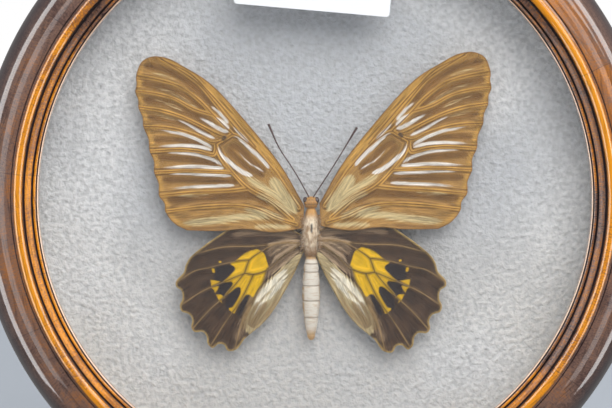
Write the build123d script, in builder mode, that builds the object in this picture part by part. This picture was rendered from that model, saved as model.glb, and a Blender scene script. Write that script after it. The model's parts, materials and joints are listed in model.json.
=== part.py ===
from build123d import *
import os
from math import atan2, cos, degrees, radians, sin

# Round butterfly display case, to hang on a wall. +Z is up, the glass faces -Y and the wall is at +Y.
# The origin is the centre of the case, half way through its depth. Millimetres.

# ---- Case, driving dimensions ----
CASE_DIAMETER = 260.0
FRAME_WIDTH = 27.0  # from the sight edge out to the widest part of the ring
SEGMENT_COUNT = 12  # the ring is glued up from this many blocks, then turned
FIRST_SEAM = -5.0  # degrees above +X of the first glue joint

# ---- Front moulding, from the sight edge outwards ----
LIP_DROP = 5.0  # lip's face behind the crest of the main bead
LIP_EASE = 0.6
SMALL_BEAD = 1.4
SMALL_BEAD_RISE = 0.5
QUIRK = 0.7  # narrow groove between two mouldings
QUIRK_DEPTH = 0.6
COVE = 2.5
COVE_RISE = 2.2
COVE_HOLLOW = 0.35
MAIN_BEAD = 3.7
MAIN_BEAD_RISE = 1.6
BEAD_QUIRK_DEPTH = 1.0
BAND = 4.5
BAND_FALL = 2.3
BAND_CROWN = 0.35
SHOULDER_RADIUS = 7.5  # front of the big roll
SIDE_LENGTH = 6.0  # straight side behind the widest part of the roll
BACK_EASE = 1.5

# ---- Rebate, ledge and recess in the back ----
LIP_THICKNESS = 3.0
GLASS_LAND = 9.5  # how far the lip covers the glass
LEDGE = 9.5
RECESS_DEPTH = 4.5

# ---- Layers in the rebate ----
GLASS_THICKNESS = 2.0
SPACER_DEPTH = 14.7  # room for the specimen between the glass and the backing
BACKING_THICKNESS = 2.0
COVER_THICKNESS = 2.8
SPACER_WALL = 3.0
REBATE_PLAY = 0.4  # all round each disc
EDGE_CHAMFER = 0.3

# ---- Turn buttons ----
BUTTON_COUNT = 4
BUTTON_START = 45.0
BUTTON_THICKNESS = 1.2
BUTTON_REACH = 14.0  # pivot to the centre of the rounded tip
BUTTON_TIP_RADIUS = 3.0
BUTTON_WALL_PLAY = 0.55
BUTTON_RIB = (7.0, 1.6, 0.4)  # length, width and height of the pressed rib
BUTTON_GAP = 0.2  # under the button
SCREW_RADIUS = 1.5
SCREW_LENGTH = 8.0
SCREW_HEAD_RADIUS = 3.0
SCREW_HEAD_HEIGHT = 1.7
SCREW_HEAD_BEVEL = 0.8
SCREW_SLOT = (4.2, 0.7, 0.7)  # length, width and depth of each arm of the cross
RUNNING_PLAY = 0.06

# ---- Hanger on the back cover ----
HANGER_INSET = 24.1  # from the edge of the cover to the axis of the ring
STRAP_WIDTH = 12.0
STRAP_THICKNESS = 1.0
STRAP_LENGTH = 27.0
KNUCKLE_WIDTH = 8.0
RING_WIRE_RADIUS = 0.9
RING_WIDTH = 14.0  # between wire centres
RING_DROP = 11.0
RING_CORNER = 4.0
RING_TOP_CORNER = 1.5
RING_GAP = 0.3  # between the hanging ring and the strap
RIVET_RADIUS = 1.4
RIVET_HEAD_RADIUS = 2.5
RIVET_HEAD_HEIGHT = 0.6
RIVET_HEAD_BEVEL = 0.35
RIVET_COUNT = 2
RIVET_SPACING = 7.0
RIVET_SHORT = 0.06  # shank ends this far inside the cover's front face
RIVET_FROM_END = 4.5
FIXED_PLAY = 0.03

# ---- Paper label on the glass ----
LABEL_SIZE = (58.0, 24.0)
LABEL_THICKNESS = 0.15
LABEL_TILT = -5.1
LABEL_BELOW_SIGHT = 20.6
LABEL_CORNER = 1.2

# ---- Specimen ----
BODY_X = -1.3
THORAX_Z = -12.0
BODY_STANDOFF = 6.4  # axis of the body in front of the backing
WING_FORWARD = 1.15  # wings in front of the axis of the body
WING_STEP = 0.9  # forewings in front of the hindwings
MEMBRANE = 0.25
VEIN_WIDTH = 0.5
VEIN_HEIGHT = 0.15
PAD_WIDTH = 5.0
PAD_HEIGHT = 10.0
PAD_OVERLAP = 1.0  # the pad ends this far behind the axis of the body

# Radii and heights above the middle of the thorax, from the neck down.
NECK = (1.5, 8.4)
THORAX_WIDEST = (3.2, -0.5)
WAIST = (1.6, -9.8)
ABDOMEN_JOINTS = [(2.6, -12.6), (2.8, -15.7), (3.2, -20.9), (3.3, -26.6), (2.9, -33.0), (2.2, -39.7)]
SEGMENT_BULGE = 0.14
HEAD_RADIUS = 2.75

EYE_RADIUS = 1.15
EYE_OUT = 2.1  # from the middle of the head
EYE_FORWARD = 0.9
EYE_HEIGHT = 11.6  # above the middle of the thorax
EYE_PLAY = 0.03

ANTENNA_RADIUS = 0.22
ANTENNA_FORWARD = 1.0  # in front of the axis of the body
# Out from the body and up from the middle of the thorax: base, bend and tip.
ANTENNA_LINE = [(0.8, 13.0), (9.0, 26.6), (15.9, 40.0)]
CLUB_STATIONS = [(5.0, 0.22), (1.7, 0.5), (0.0, 0.22)]  # distance back from the tip, radius

LEG_RADIUS = 0.22
LEG_LEVELS = (4.4, 0.2, -4.4)
# Out from the body, back from its axis and up from the leg's level: hip, thigh, knee and foot.
LEG_POINTS = [(2.4, 0.4, 0.0), (4.4, 2.6, -0.8), (6.6, 3.8, -3.0), (4.4, 4.6, -6.8)]

# ---- Radii and levels that follow ----
CASE_RADIUS = CASE_DIAMETER / 2
SIGHT_RADIUS = CASE_RADIUS - FRAME_WIDTH
REBATE_RADIUS = SIGHT_RADIUS + GLASS_LAND
RECESS_RADIUS = REBATE_RADIUS + LEDGE
LAYER_RADIUS = REBATE_RADIUS - REBATE_PLAY

LAYERS_DEPTH = GLASS_THICKNESS + SPACER_DEPTH + BACKING_THICKNESS + COVER_THICKNESS
CASE_DEPTH = LIP_DROP + LIP_THICKNESS + LAYERS_DEPTH + RECESS_DEPTH
FRONT_Y = -CASE_DEPTH / 2
BACK_Y = CASE_DEPTH / 2
LIP_Y = FRONT_Y + LIP_DROP
GLASS_FRONT_Y = LIP_Y + LIP_THICKNESS
GLASS_BACK_Y = GLASS_FRONT_Y + GLASS_THICKNESS
LEDGE_Y = BACK_Y - RECESS_DEPTH
COVER_FRONT_Y = LEDGE_Y - COVER_THICKNESS
BACKING_FRONT_Y = COVER_FRONT_Y - BACKING_THICKNESS

BUTTON_PIVOT_RADIUS = (REBATE_RADIUS + RECESS_RADIUS) / 2
BUTTON_HUB_RADIUS = LEDGE / 2 - BUTTON_WALL_PLAY
BUTTON_Y = LEDGE_Y + BUTTON_GAP
BUTTON_ANGLES = [BUTTON_START + 360 / BUTTON_COUNT * index for index in range(BUTTON_COUNT)]

STRAP_BACK_Y = LEDGE_Y + STRAP_THICKNESS
RING_Y = STRAP_BACK_Y + RING_GAP + RING_WIRE_RADIUS
RING_BORE_RADIUS = RING_WIRE_RADIUS + RUNNING_PLAY
KNUCKLE_RADIUS = RING_BORE_RADIUS + STRAP_THICKNESS
HANGER_Z = LAYER_RADIUS - HANGER_INSET

BODY_Y = BACKING_FRONT_Y - BODY_STANDOFF
FOREWING_Y = BODY_Y - WING_FORWARD
HINDWING_Y = FOREWING_Y + WING_STEP


def front_plane(y):
    """Plane across the case at depth y, seen from the front: local x is +X, local y is +Z."""
    return Plane(origin=(0, y, 0), x_dir=(1, 0, 0), z_dir=(0, -1, 0))


def back_plane(y):
    """Plane across the case at depth y, seen from the wall: local x is -X, local y is +Z."""
    return Plane(origin=(0, y, 0), x_dir=(-1, 0, 0), z_dir=(0, 1, 0))


def specimen_plane(y):
    """Plane of the specimen at depth y, with its origin on the middle of the thorax."""
    return Plane(origin=(BODY_X, y, THORAX_Z), x_dir=(1, 0, 0), z_dir=(0, -1, 0))


def layer_disc(front_y, thickness):
    """Disc that drops into the rebate, with both edges eased."""
    with BuildPart() as disc:
        with BuildSketch(back_plane(front_y)):
            Circle(LAYER_RADIUS)
        extrude(amount=thickness)
        chamfer(disc.edges().filter_by(GeomType.CIRCLE), length=EDGE_CHAMFER)
    return disc.part


os.makedirs("parts", exist_ok=True)

# ---------------------------------------------------------------- ring of glued blocks
# Stations across the moulding, measured out from the sight edge.
bead_start = LIP_EASE
bead_end = bead_start + SMALL_BEAD
cove_start = bead_end + QUIRK
cove_end = cove_start + COVE
main_start = cove_end + QUIRK
main_end = main_start + MAIN_BEAD
band_start = main_end + QUIRK
band_end = band_start + BAND

cove_low_y = LIP_Y - QUIRK_DEPTH
cove_high_y = cove_low_y - COVE_RISE
main_spring_y = FRONT_Y + MAIN_BEAD_RISE
band_high_y = main_spring_y
band_low_y = band_high_y + BAND_FALL
widest_y = BACK_Y - BACK_EASE - SIDE_LENGTH

# The roll is two tangent arcs: the shoulder leaves the band square to the axis of the case, and the flank
# meets the straight side. Their tangency gives the flank's radius and the shoulder's turn.
roll_width = FRAME_WIDTH - band_end
roll_depth = widest_y - band_low_y
flank_radius = (roll_width**2 + roll_depth**2 - 2 * roll_depth * SHOULDER_RADIUS) / (
    2 * (roll_width - SHOULDER_RADIUS)
)
shoulder_turn = degrees(atan2(flank_radius - roll_width, roll_depth - SHOULDER_RADIUS))


def at(offset, y):
    """Point of the section, offset out from the sight edge and at depth y."""
    return (SIGHT_RADIUS + offset, y)


def middle(offset_a, y_a, offset_b, y_b, inwards):
    """Point half way between two stations, moved towards the wood by inwards."""
    run, fall = offset_b - offset_a, y_b - y_a
    chord = (run**2 + fall**2) ** 0.5
    return at((offset_a + offset_b) / 2 - fall / chord * inwards, (y_a + y_b) / 2 + run / chord * inwards)


# Section of the ring: local x is the radius, local y the depth from front to back.
with BuildSketch(Plane.XY) as moulding:
    with BuildLine():
        # Eased lip and small bead.
        Line(at(0, LIP_Y + LIP_EASE), at(bead_start, LIP_Y))
        ThreePointArc(
            at(bead_start, LIP_Y),
            at((bead_start + bead_end) / 2, LIP_Y - SMALL_BEAD_RISE),
            at(bead_end, LIP_Y),
        )
        Polyline(at(bead_end, LIP_Y), at(cove_start, LIP_Y), at(cove_start, cove_low_y))
        # Hollow cove rising to the main bead.
        ThreePointArc(
            at(cove_start, cove_low_y),
            middle(cove_start, cove_low_y, cove_end, cove_high_y, COVE_HOLLOW),
            at(cove_end, cove_high_y),
        )
        Polyline(
            at(cove_end, cove_high_y),
            at(cove_end, cove_high_y + QUIRK_DEPTH),
            at(main_start, cove_high_y + QUIRK_DEPTH),
            at(main_start, main_spring_y),
        )
        # Main bead, the frontmost line of the case.
        ThreePointArc(
            at(main_start, main_spring_y),
            at((main_start + main_end) / 2, FRONT_Y),
            at(main_end, main_spring_y),
        )
        Polyline(
            at(main_end, main_spring_y),
            at(main_end, main_spring_y + BEAD_QUIRK_DEPTH),
            at(band_start, main_spring_y + BEAD_QUIRK_DEPTH),
            at(band_start, band_high_y),
        )
        # Crowned band that falls to the big roll.
        ThreePointArc(
            at(band_start, band_high_y),
            middle(band_start, band_high_y, band_end, band_low_y, -BAND_CROWN),
            at(band_end, band_low_y),
        )
        shoulder = JernArc(at(band_end, band_low_y), (1, 0), SHOULDER_RADIUS, shoulder_turn)
        TangentArc(shoulder @ 1, (CASE_RADIUS, widest_y), tangent=shoulder % 1)
        # Side, eased back edge, recess, ledge and rebate.
        Polyline(
            (CASE_RADIUS, widest_y),
            (CASE_RADIUS, BACK_Y - BACK_EASE),
            (CASE_RADIUS - BACK_EASE, BACK_Y),
            (RECESS_RADIUS, BACK_Y),
            (RECESS_RADIUS, LEDGE_Y),
            (REBATE_RADIUS, LEDGE_Y),
            (REBATE_RADIUS, GLASS_FRONT_Y),
            (SIGHT_RADIUS, GLASS_FRONT_Y),
            (SIGHT_RADIUS, LIP_Y + LIP_EASE),
        )
    make_face()

segment_angle = 360 / SEGMENT_COUNT
for number in range(SEGMENT_COUNT):
    seam = FIRST_SEAM + segment_angle * (number + 1)
    screw_angles = [angle for angle in BUTTON_ANGLES if 0 <= (seam - angle) % 360 < segment_angle]
    with BuildPart() as segment:
        with BuildSketch(Plane.XY.rotated((0, -seam, 0))):
            add(moulding.sketch)
        revolve(axis=Axis.Y, revolution_arc=segment_angle)
        for angle in screw_angles:
            with BuildSketch(front_plane(LEDGE_Y)):
                with PolarLocations(BUTTON_PIVOT_RADIUS, 1, start_angle=angle):
                    Circle(SCREW_RADIUS + FIXED_PLAY)
            extrude(amount=SCREW_LENGTH, mode=Mode.SUBTRACT)
    segment.part.label = f"frame_segment_{number + 1:02d}"
    export_step(segment.part, f"parts/{segment.part.label}.step")

# ---------------------------------------------------------------- layers in the rebate
glass = layer_disc(GLASS_FRONT_Y, GLASS_THICKNESS)
glass.label = "glass_disc"
export_step(glass, "parts/glass_disc.step")

with BuildPart() as spacer_ring:
    with BuildSketch(back_plane(GLASS_BACK_Y)):
        Circle(LAYER_RADIUS)
        Circle(LAYER_RADIUS - SPACER_WALL, mode=Mode.SUBTRACT)
    extrude(amount=SPACER_DEPTH)
spacer_ring.part.label = "spacer_ring"
export_step(spacer_ring.part, "parts/spacer_ring.step")

backing = layer_disc(BACKING_FRONT_Y, BACKING_THICKNESS)
backing.label = "backing_board"
export_step(backing, "parts/backing_board.step")

strap_end = HANGER_Z - STRAP_LENGTH
rivet_heights = [strap_end + RIVET_FROM_END + RIVET_SPACING * index for index in range(RIVET_COUNT)]
with BuildPart() as back_cover:
    add(layer_disc(COVER_FRONT_Y, COVER_THICKNESS))
    with BuildSketch(back_plane(COVER_FRONT_Y)):
        with Locations(*[(0, height) for height in rivet_heights]):
            Circle(RIVET_RADIUS + FIXED_PLAY)
    extrude(amount=COVER_THICKNESS, mode=Mode.SUBTRACT)
back_cover.part.label = "back_cover"
export_step(back_cover.part, "parts/back_cover.step")

# ---------------------------------------------------------------- turn buttons and their screws
rib_length, rib_width, rib_height = BUTTON_RIB
for number, angle in enumerate(BUTTON_ANGLES, start=1):
    across, up = cos(radians(angle)), sin(radians(angle))
    pivot = (BUTTON_PIVOT_RADIUS * across, BUTTON_Y, BUTTON_PIVOT_RADIUS * up)
    button_plane = Plane(origin=pivot, x_dir=(-across, 0, -up), z_dir=(0, 1, 0))
    with BuildPart() as button:
        with BuildSketch(button_plane):
            Circle(BUTTON_HUB_RADIUS)
            with Locations((BUTTON_REACH, 0)):
                Circle(BUTTON_TIP_RADIUS)
            make_hull()
            Circle(SCREW_RADIUS + RUNNING_PLAY, mode=Mode.SUBTRACT)
        extrude(amount=BUTTON_THICKNESS)
        with BuildSketch(button_plane.offset(BUTTON_THICKNESS)):
            with Locations(((BUTTON_REACH + BUTTON_HUB_RADIUS) / 2, 0)):
                SlotOverall(rib_length, rib_width)
        extrude(amount=rib_height)
    button.part.label = f"turn_button_{number}"
    export_step(button.part, f"parts/turn_button_{number}.step")

head_y = BUTTON_Y + BUTTON_THICKNESS + BUTTON_GAP / 2
slot_length, slot_width, slot_depth = SCREW_SLOT
with BuildPart() as screws:
    with BuildSketch(back_plane(LEDGE_Y - SCREW_LENGTH)):
        with PolarLocations(BUTTON_PIVOT_RADIUS, BUTTON_COUNT, start_angle=BUTTON_START):
            Circle(SCREW_RADIUS)
    extrude(amount=head_y - LEDGE_Y + SCREW_LENGTH)
    with BuildSketch(back_plane(head_y)):
        with PolarLocations(BUTTON_PIVOT_RADIUS, BUTTON_COUNT, start_angle=BUTTON_START):
            Circle(SCREW_HEAD_RADIUS)
    extrude(amount=SCREW_HEAD_HEIGHT)
    head_rims = screws.edges().filter_by(GeomType.CIRCLE).group_by(Axis.Y)[-1]
    chamfer(head_rims, length=SCREW_HEAD_BEVEL)
    with BuildSketch(back_plane(head_y + SCREW_HEAD_HEIGHT)):
        with PolarLocations(BUTTON_PIVOT_RADIUS, BUTTON_COUNT, start_angle=BUTTON_START):
            Rectangle(slot_length, slot_width)
            Rectangle(slot_width, slot_length)
    extrude(amount=-slot_depth, mode=Mode.SUBTRACT)
screws.part.label = "turn_button_screws"
export_step(screws.part, "parts/turn_button_screws.step")

# ---------------------------------------------------------------- hanger
with BuildPart() as hanger_strap:
    with BuildSketch(back_plane(LEDGE_Y)):
        with BuildLine():
            Polyline(
                (-KNUCKLE_WIDTH / 2, HANGER_Z),
                (-KNUCKLE_WIDTH / 2, HANGER_Z - 2 * KNUCKLE_RADIUS),
                (-STRAP_WIDTH / 2, HANGER_Z - 3 * KNUCKLE_RADIUS),
                (-STRAP_WIDTH / 2, strap_end + STRAP_WIDTH / 2),
            )
            ThreePointArc(
                (-STRAP_WIDTH / 2, strap_end + STRAP_WIDTH / 2),
                (0, strap_end),
                (STRAP_WIDTH / 2, strap_end + STRAP_WIDTH / 2),
            )
            Polyline(
                (STRAP_WIDTH / 2, strap_end + STRAP_WIDTH / 2),
                (STRAP_WIDTH / 2, HANGER_Z - 3 * KNUCKLE_RADIUS),
                (KNUCKLE_WIDTH / 2, HANGER_Z - 2 * KNUCKLE_RADIUS),
                (KNUCKLE_WIDTH / 2, HANGER_Z),
                (-KNUCKLE_WIDTH / 2, HANGER_Z),
            )
        make_face()
        with Locations(*[(0, height) for height in rivet_heights]):
            Circle(RIVET_RADIUS + FIXED_PLAY, mode=Mode.SUBTRACT)
    extrude(amount=STRAP_THICKNESS)
    with BuildSketch(Plane.YZ.offset(-KNUCKLE_WIDTH / 2)):
        with Locations((RING_Y, HANGER_Z)):
            Circle(KNUCKLE_RADIUS)
    extrude(amount=KNUCKLE_WIDTH)
    with BuildSketch(Plane.YZ.offset(-KNUCKLE_WIDTH / 2)):
        with Locations((RING_Y, HANGER_Z)):
            Circle(RING_BORE_RADIUS)
    extrude(amount=KNUCKLE_WIDTH, mode=Mode.SUBTRACT)
hanger_strap.part.label = "hanger_strap"
export_step(hanger_strap.part, "parts/hanger_strap.step")

with BuildPart() as hanger_rivets:
    with BuildSketch(back_plane(COVER_FRONT_Y + RIVET_SHORT)):
        with Locations(*[(0, height) for height in rivet_heights]):
            Circle(RIVET_RADIUS)
    extrude(amount=STRAP_BACK_Y - COVER_FRONT_Y - RIVET_SHORT)
    with BuildSketch(back_plane(STRAP_BACK_Y)):
        with Locations(*[(0, height) for height in rivet_heights]):
            Circle(RIVET_HEAD_RADIUS)
    extrude(amount=RIVET_HEAD_HEIGHT)
    rivet_rims = hanger_rivets.edges().filter_by(GeomType.CIRCLE).group_by(Axis.Y)[-1]
    chamfer(rivet_rims, length=RIVET_HEAD_BEVEL)
hanger_rivets.part.label = "hanger_rivets"
export_step(hanger_rivets.part, "parts/hanger_rivets.step")

with BuildPart() as hanger_ring:
    with BuildLine(back_plane(RING_Y)) as ring_line:
        FilletPolyline(
            (RING_WIDTH / 2, HANGER_Z),
            (RING_WIDTH / 2, HANGER_Z - RING_DROP),
            (-RING_WIDTH / 2, HANGER_Z - RING_DROP),
            (-RING_WIDTH / 2, HANGER_Z),
            radius=(RING_TOP_CORNER, RING_CORNER, RING_CORNER, RING_TOP_CORNER),
            close=True,
        )
    ring_path = ring_line.wire()
    with BuildSketch(Plane(origin=ring_path @ 0, z_dir=ring_path % 0)):
        Circle(RING_WIRE_RADIUS)
    sweep(path=ring_path)
hanger_ring.part.label = "hanger_ring"
export_step(hanger_ring.part, "parts/hanger_ring.step")

# ---------------------------------------------------------------- paper label on the glass
with BuildPart() as paper_label:
    with BuildSketch(front_plane(GLASS_FRONT_Y)):
        with Locations((0, SIGHT_RADIUS - LABEL_BELOW_SIGHT)):
            RectangleRounded(*LABEL_SIZE, radius=LABEL_CORNER, rotation=LABEL_TILT)
    extrude(amount=LABEL_THICKNESS)
paper_label.part.label = "paper_label"
export_step(paper_label.part, "parts/paper_label.step")

# ---------------------------------------------------------------- body of the butterfly
# Each profile is (radius, height above the middle of the thorax), turned about the axis of the body.
body_axis = Axis((BODY_X, BODY_Y, 0), (0, 0, 1))

with BuildPart() as thorax:
    with BuildSketch(specimen_plane(BODY_Y)):
        with BuildLine():
            ThreePointArc(NECK, THORAX_WIDEST, WAIST)
            Polyline(WAIST, (0, WAIST[1]), (0, NECK[1]), NECK)
        make_face()
    revolve(axis=body_axis)
thorax.part.label = "thorax"
export_step(thorax.part, "parts/thorax.step")

eye_centres = [(BODY_X + sign * EYE_OUT, BODY_Y - EYE_FORWARD, THORAX_Z + EYE_HEIGHT) for sign in (-1, 1)]
head_middle = NECK[1] + (HEAD_RADIUS**2 - NECK[0] ** 2) ** 0.5
with BuildPart() as head:
    with Locations((BODY_X, BODY_Y, THORAX_Z + head_middle)):
        Sphere(HEAD_RADIUS)
    # Flat neck, the size of the thorax there.
    split(bisect_by=Plane.XY.offset(THORAX_Z + NECK[1]), keep=Keep.TOP)
    # Sockets of the eyes.
    with Locations(*eye_centres):
        Sphere(EYE_RADIUS + EYE_PLAY, mode=Mode.SUBTRACT)
head.part.label = "head"
export_step(head.part, "parts/head.step")

with BuildPart() as eyes:
    with Locations(*eye_centres):
        Sphere(EYE_RADIUS)
eyes.part.label = "eyes"
export_step(eyes.part, "parts/eyes.step")

with BuildPart() as abdomen:
    with BuildSketch(specimen_plane(BODY_Y)):
        with BuildLine():
            # One bulging ring between each pair of joints.
            for upper, lower in zip([WAIST] + ABDOMEN_JOINTS, ABDOMEN_JOINTS):
                bulge = ((upper[0] + lower[0]) / 2 + SEGMENT_BULGE, (upper[1] + lower[1]) / 2)
                ThreePointArc(upper, bulge, lower)
            # Round tip.
            tip_radius, tip_height = ABDOMEN_JOINTS[-1]
            CenterArc((0, tip_height), tip_radius, 0, -90)
            Polyline((0, tip_height - tip_radius), (0, WAIST[1]), WAIST)
        make_face()
    revolve(axis=body_axis)
abdomen.part.label = "abdomen"
export_step(abdomen.part, "parts/abdomen.step")

with BuildPart() as mounting_pad:
    with BuildSketch(specimen_plane(BACKING_FRONT_Y)):
        Rectangle(PAD_WIDTH, PAD_HEIGHT)
    extrude(amount=BODY_STANDOFF - PAD_OVERLAP)
    add(thorax.part, mode=Mode.SUBTRACT)
mounting_pad.part.label = "mounting_pad"
export_step(mounting_pad.part, "parts/mounting_pad.step")

# ---------------------------------------------------------------- wings
# Points are (out from the body, up from the middle of the thorax) on the right-hand wing.
# Each outline is the wing's front margin, its outer margin and its hind margin, end to end.
FOREWING_MARGINS = [
    [(2.6, 9.5), (11.0, 24.0), (21.5, 37.5), (38.0, 55.5), (54.0, 65.0), (60.5, 65.4), (65.3, 62.3)],
    [(65.3, 62.3), (66.4, 53.0), (63.8, 41.5), (60.2, 27.5), (57.5, 14.5), (52.0, 2.5), (47.0, 0.0)],
    [(47.0, 0.0), (35.0, -0.2), (24.5, 0.5), (14.0, -0.7), (2.6, 1.0)],
]
FOREWING_VEINS = [
    [(4.2, 7.0), (15.3, 25.5), (28.8, 36.5), (32.2, 35.4)],
    [(4.0, 3.4), (15.2, 11.1), (29.8, 22.1), (34.8, 29.2), (32.2, 35.4)],
    [(32.2, 35.4), (36.9, 43.7), (49.2, 54.3), (62.5, 58.0)],
    [(36.9, 43.7), (51.7, 49.9), (63.5, 52.4)],
    [(32.2, 35.4), (49.3, 43.2), (63.0, 46.0)],
    [(33.0, 34.0), (42.1, 35.5), (61.0, 39.3)],
    [(34.8, 29.2), (49.3, 30.6), (59.0, 30.1)],
    [(29.8, 22.1), (47.1, 22.6), (57.2, 22.1)],
    [(23.7, 16.6), (44.4, 14.4), (55.5, 13.5)],
    [(4.0, 2.2), (20.1, 8.1), (34.6, 9.7), (52.5, 7.3)],
]
HINDWING_MARGINS = [
    [(2.6, -2.2), (12.0, 2.4), (24.0, 2.8), (33.0, -0.5)],
    # Five rounded teeth with notches between them.
    [
        (33.0, -0.5), (40.7, -5.9), (47.0, -11.6), (48.6, -15.5),
        (51.5, -20.2), (49.6, -24.2), (49.8, -29.8), (45.9, -33.0), (45.2, -38.2),
        (40.8, -39.8), (38.2, -44.5), (34.4, -43.6), (30.5, -46.2), (25.3, -41.3),
    ],
    [(25.3, -41.3), (16.6, -33.5), (7.5, -18.5), (2.6, -7.5)],
]
HINDWING_VEINS = [
    [(4.0, -4.6), (22.3, -5.4), (41.0, -7.6)],
    [(4.0, -5.4), (17.5, -7.8), (23.3, -11.2), (25.2, -16.2)],
    [(4.0, -6.2), (16.3, -13.6), (21.7, -17.0), (25.2, -16.2)],
    [(23.3, -11.2), (38.0, -13.7), (49.8, -19.0)],
    [(25.2, -16.2), (38.0, -21.4), (48.2, -28.6)],
    [(25.2, -16.2), (35.5, -27.6), (43.8, -36.6)],
    [(21.7, -17.0), (29.5, -29.1), (36.8, -42.2)],
    [(16.3, -13.6), (23.3, -28.6), (29.3, -43.6)],
]


def wing(margins, veins, back_y, side):
    """Membrane with raised veins on its front, trimmed where it meets the thorax."""
    with BuildPart() as blade:
        with BuildSketch(specimen_plane(back_y)):
            with BuildLine():
                for margin in margins:
                    Spline(*margin)
                Line(margins[-1][-1], margins[0][0])
            make_face()
        extrude(amount=MEMBRANE)
        for vein in veins:
            with BuildSketch(specimen_plane(back_y - MEMBRANE)):
                with BuildLine() as vein_line:
                    Spline(*vein)
                trace(vein_line.line, line_width=VEIN_WIDTH)
            extrude(amount=VEIN_HEIGHT)
        if side == "left":
            mirror(about=Plane.YZ.offset(BODY_X), mode=Mode.REPLACE)
        add(thorax.part, mode=Mode.SUBTRACT)
    return blade.part


for side in ("left", "right"):
    forewing = wing(FOREWING_MARGINS, FOREWING_VEINS, FOREWING_Y, side)
    forewing.label = f"forewing_{side}"
    export_step(forewing, f"parts/forewing_{side}.step")
    hindwing = wing(HINDWING_MARGINS, HINDWING_VEINS, HINDWING_Y, side)
    hindwing.label = f"hindwing_{side}"
    export_step(hindwing, f"parts/hindwing_{side}.step")

# ---------------------------------------------------------------- antennae and legs
for side, sign in (("left", -1), ("right", 1)):
    with BuildPart() as antenna:
        with BuildLine(specimen_plane(BODY_Y - ANTENNA_FORWARD)) as shaft_line:
            ThreePointArc(*[(sign * out, up) for out, up in ANTENNA_LINE])
        shaft = shaft_line.line
        with BuildSketch(Plane(origin=shaft @ 0, z_dir=shaft % 0)):
            Circle(ANTENNA_RADIUS)
        sweep(path=shaft)
        # Club: the last stretch swells and then draws in to a blunt end.
        club_plane = Plane(origin=shaft @ 1, x_dir=(0, 1, 0), z_dir=shaft % 1)
        for (start, start_radius), (end, end_radius) in zip(CLUB_STATIONS, CLUB_STATIONS[1:]):
            with BuildSketch(club_plane.offset(-start)):
                Circle(start_radius)
            with BuildSketch(club_plane.offset(-end)):
                Circle(end_radius)
            loft()
        add(head.part, mode=Mode.SUBTRACT)
    antenna.part.label = f"antenna_{side}"
    export_step(antenna.part, f"parts/antenna_{side}.step")

# Each leg leaves the back of the thorax, bends at the knee and folds in beside the pad.
with BuildPart() as legs:
    for sign in (-1, 1):
        for level in LEG_LEVELS:
            joints = [
                (BODY_X + sign * out, BODY_Y + back, THORAX_Z + level + up) for out, back, up in LEG_POINTS
            ]
            with BuildLine() as leg_line:
                leg = Polyline(*joints)
            with BuildSketch(Plane(origin=leg @ 0, z_dir=leg % 0)):
                Circle(LEG_RADIUS)
            sweep(path=leg, transition=Transition.RIGHT)
    add(thorax.part, mode=Mode.SUBTRACT)
legs.part.label = "legs"
export_step(legs.part, "parts/legs.step")
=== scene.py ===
"""Round butterfly case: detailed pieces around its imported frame, and the stage they are shown on."""

import json
import random
from itertools import accumulate
from math import asin, atan2, ceil, cos, hypot, pi, radians, sin, sqrt

import bmesh
import bpy
import numpy as np
from bpy.props import FloatProperty, FloatVectorProperty, IntProperty, PointerProperty
from mathutils import Matrix, Vector, noise

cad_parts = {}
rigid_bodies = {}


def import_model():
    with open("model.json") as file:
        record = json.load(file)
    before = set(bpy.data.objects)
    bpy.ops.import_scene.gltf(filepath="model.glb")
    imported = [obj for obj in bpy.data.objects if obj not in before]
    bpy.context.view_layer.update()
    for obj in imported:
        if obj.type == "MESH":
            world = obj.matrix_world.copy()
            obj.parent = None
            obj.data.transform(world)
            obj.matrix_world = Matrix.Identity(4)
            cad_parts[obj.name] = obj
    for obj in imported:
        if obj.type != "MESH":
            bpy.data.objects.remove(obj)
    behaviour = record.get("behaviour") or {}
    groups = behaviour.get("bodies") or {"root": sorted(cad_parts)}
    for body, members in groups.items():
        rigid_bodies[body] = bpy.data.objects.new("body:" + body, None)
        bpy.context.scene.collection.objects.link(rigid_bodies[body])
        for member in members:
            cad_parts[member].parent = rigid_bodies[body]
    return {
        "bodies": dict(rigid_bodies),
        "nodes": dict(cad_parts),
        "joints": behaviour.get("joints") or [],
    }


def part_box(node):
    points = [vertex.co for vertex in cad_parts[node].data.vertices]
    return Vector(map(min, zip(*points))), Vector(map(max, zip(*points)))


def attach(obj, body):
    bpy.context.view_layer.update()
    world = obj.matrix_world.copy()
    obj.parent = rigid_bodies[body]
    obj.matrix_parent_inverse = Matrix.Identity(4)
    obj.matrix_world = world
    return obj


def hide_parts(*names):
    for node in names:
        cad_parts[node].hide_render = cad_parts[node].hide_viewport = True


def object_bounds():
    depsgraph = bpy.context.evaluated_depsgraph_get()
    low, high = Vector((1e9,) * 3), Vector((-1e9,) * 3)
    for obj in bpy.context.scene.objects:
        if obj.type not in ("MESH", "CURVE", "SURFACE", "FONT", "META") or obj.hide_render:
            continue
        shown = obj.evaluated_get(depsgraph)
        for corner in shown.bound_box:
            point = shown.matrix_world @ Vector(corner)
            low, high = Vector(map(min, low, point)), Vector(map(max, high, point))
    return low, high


bl_info = {
    "name": "Round Butterfly Case",
    "version": (1, 0, 0),
    "blender": (4, 5, 0),
    "location": "View3D > Sidebar > Butterfly Case",
    "description": "Builds a round glazed butterfly case, piece by piece, around its packed frame",
    "category": "Add Mesh",
}

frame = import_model()
CAD_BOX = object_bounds()

MM = 0.001
BLOCK_NAMES = sorted(name for name in frame["nodes"] if name.startswith("frame_segment"))
BUTTON_NAMES = sorted(name for name in frame["bodies"] if name.startswith("turn_button"))

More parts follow.
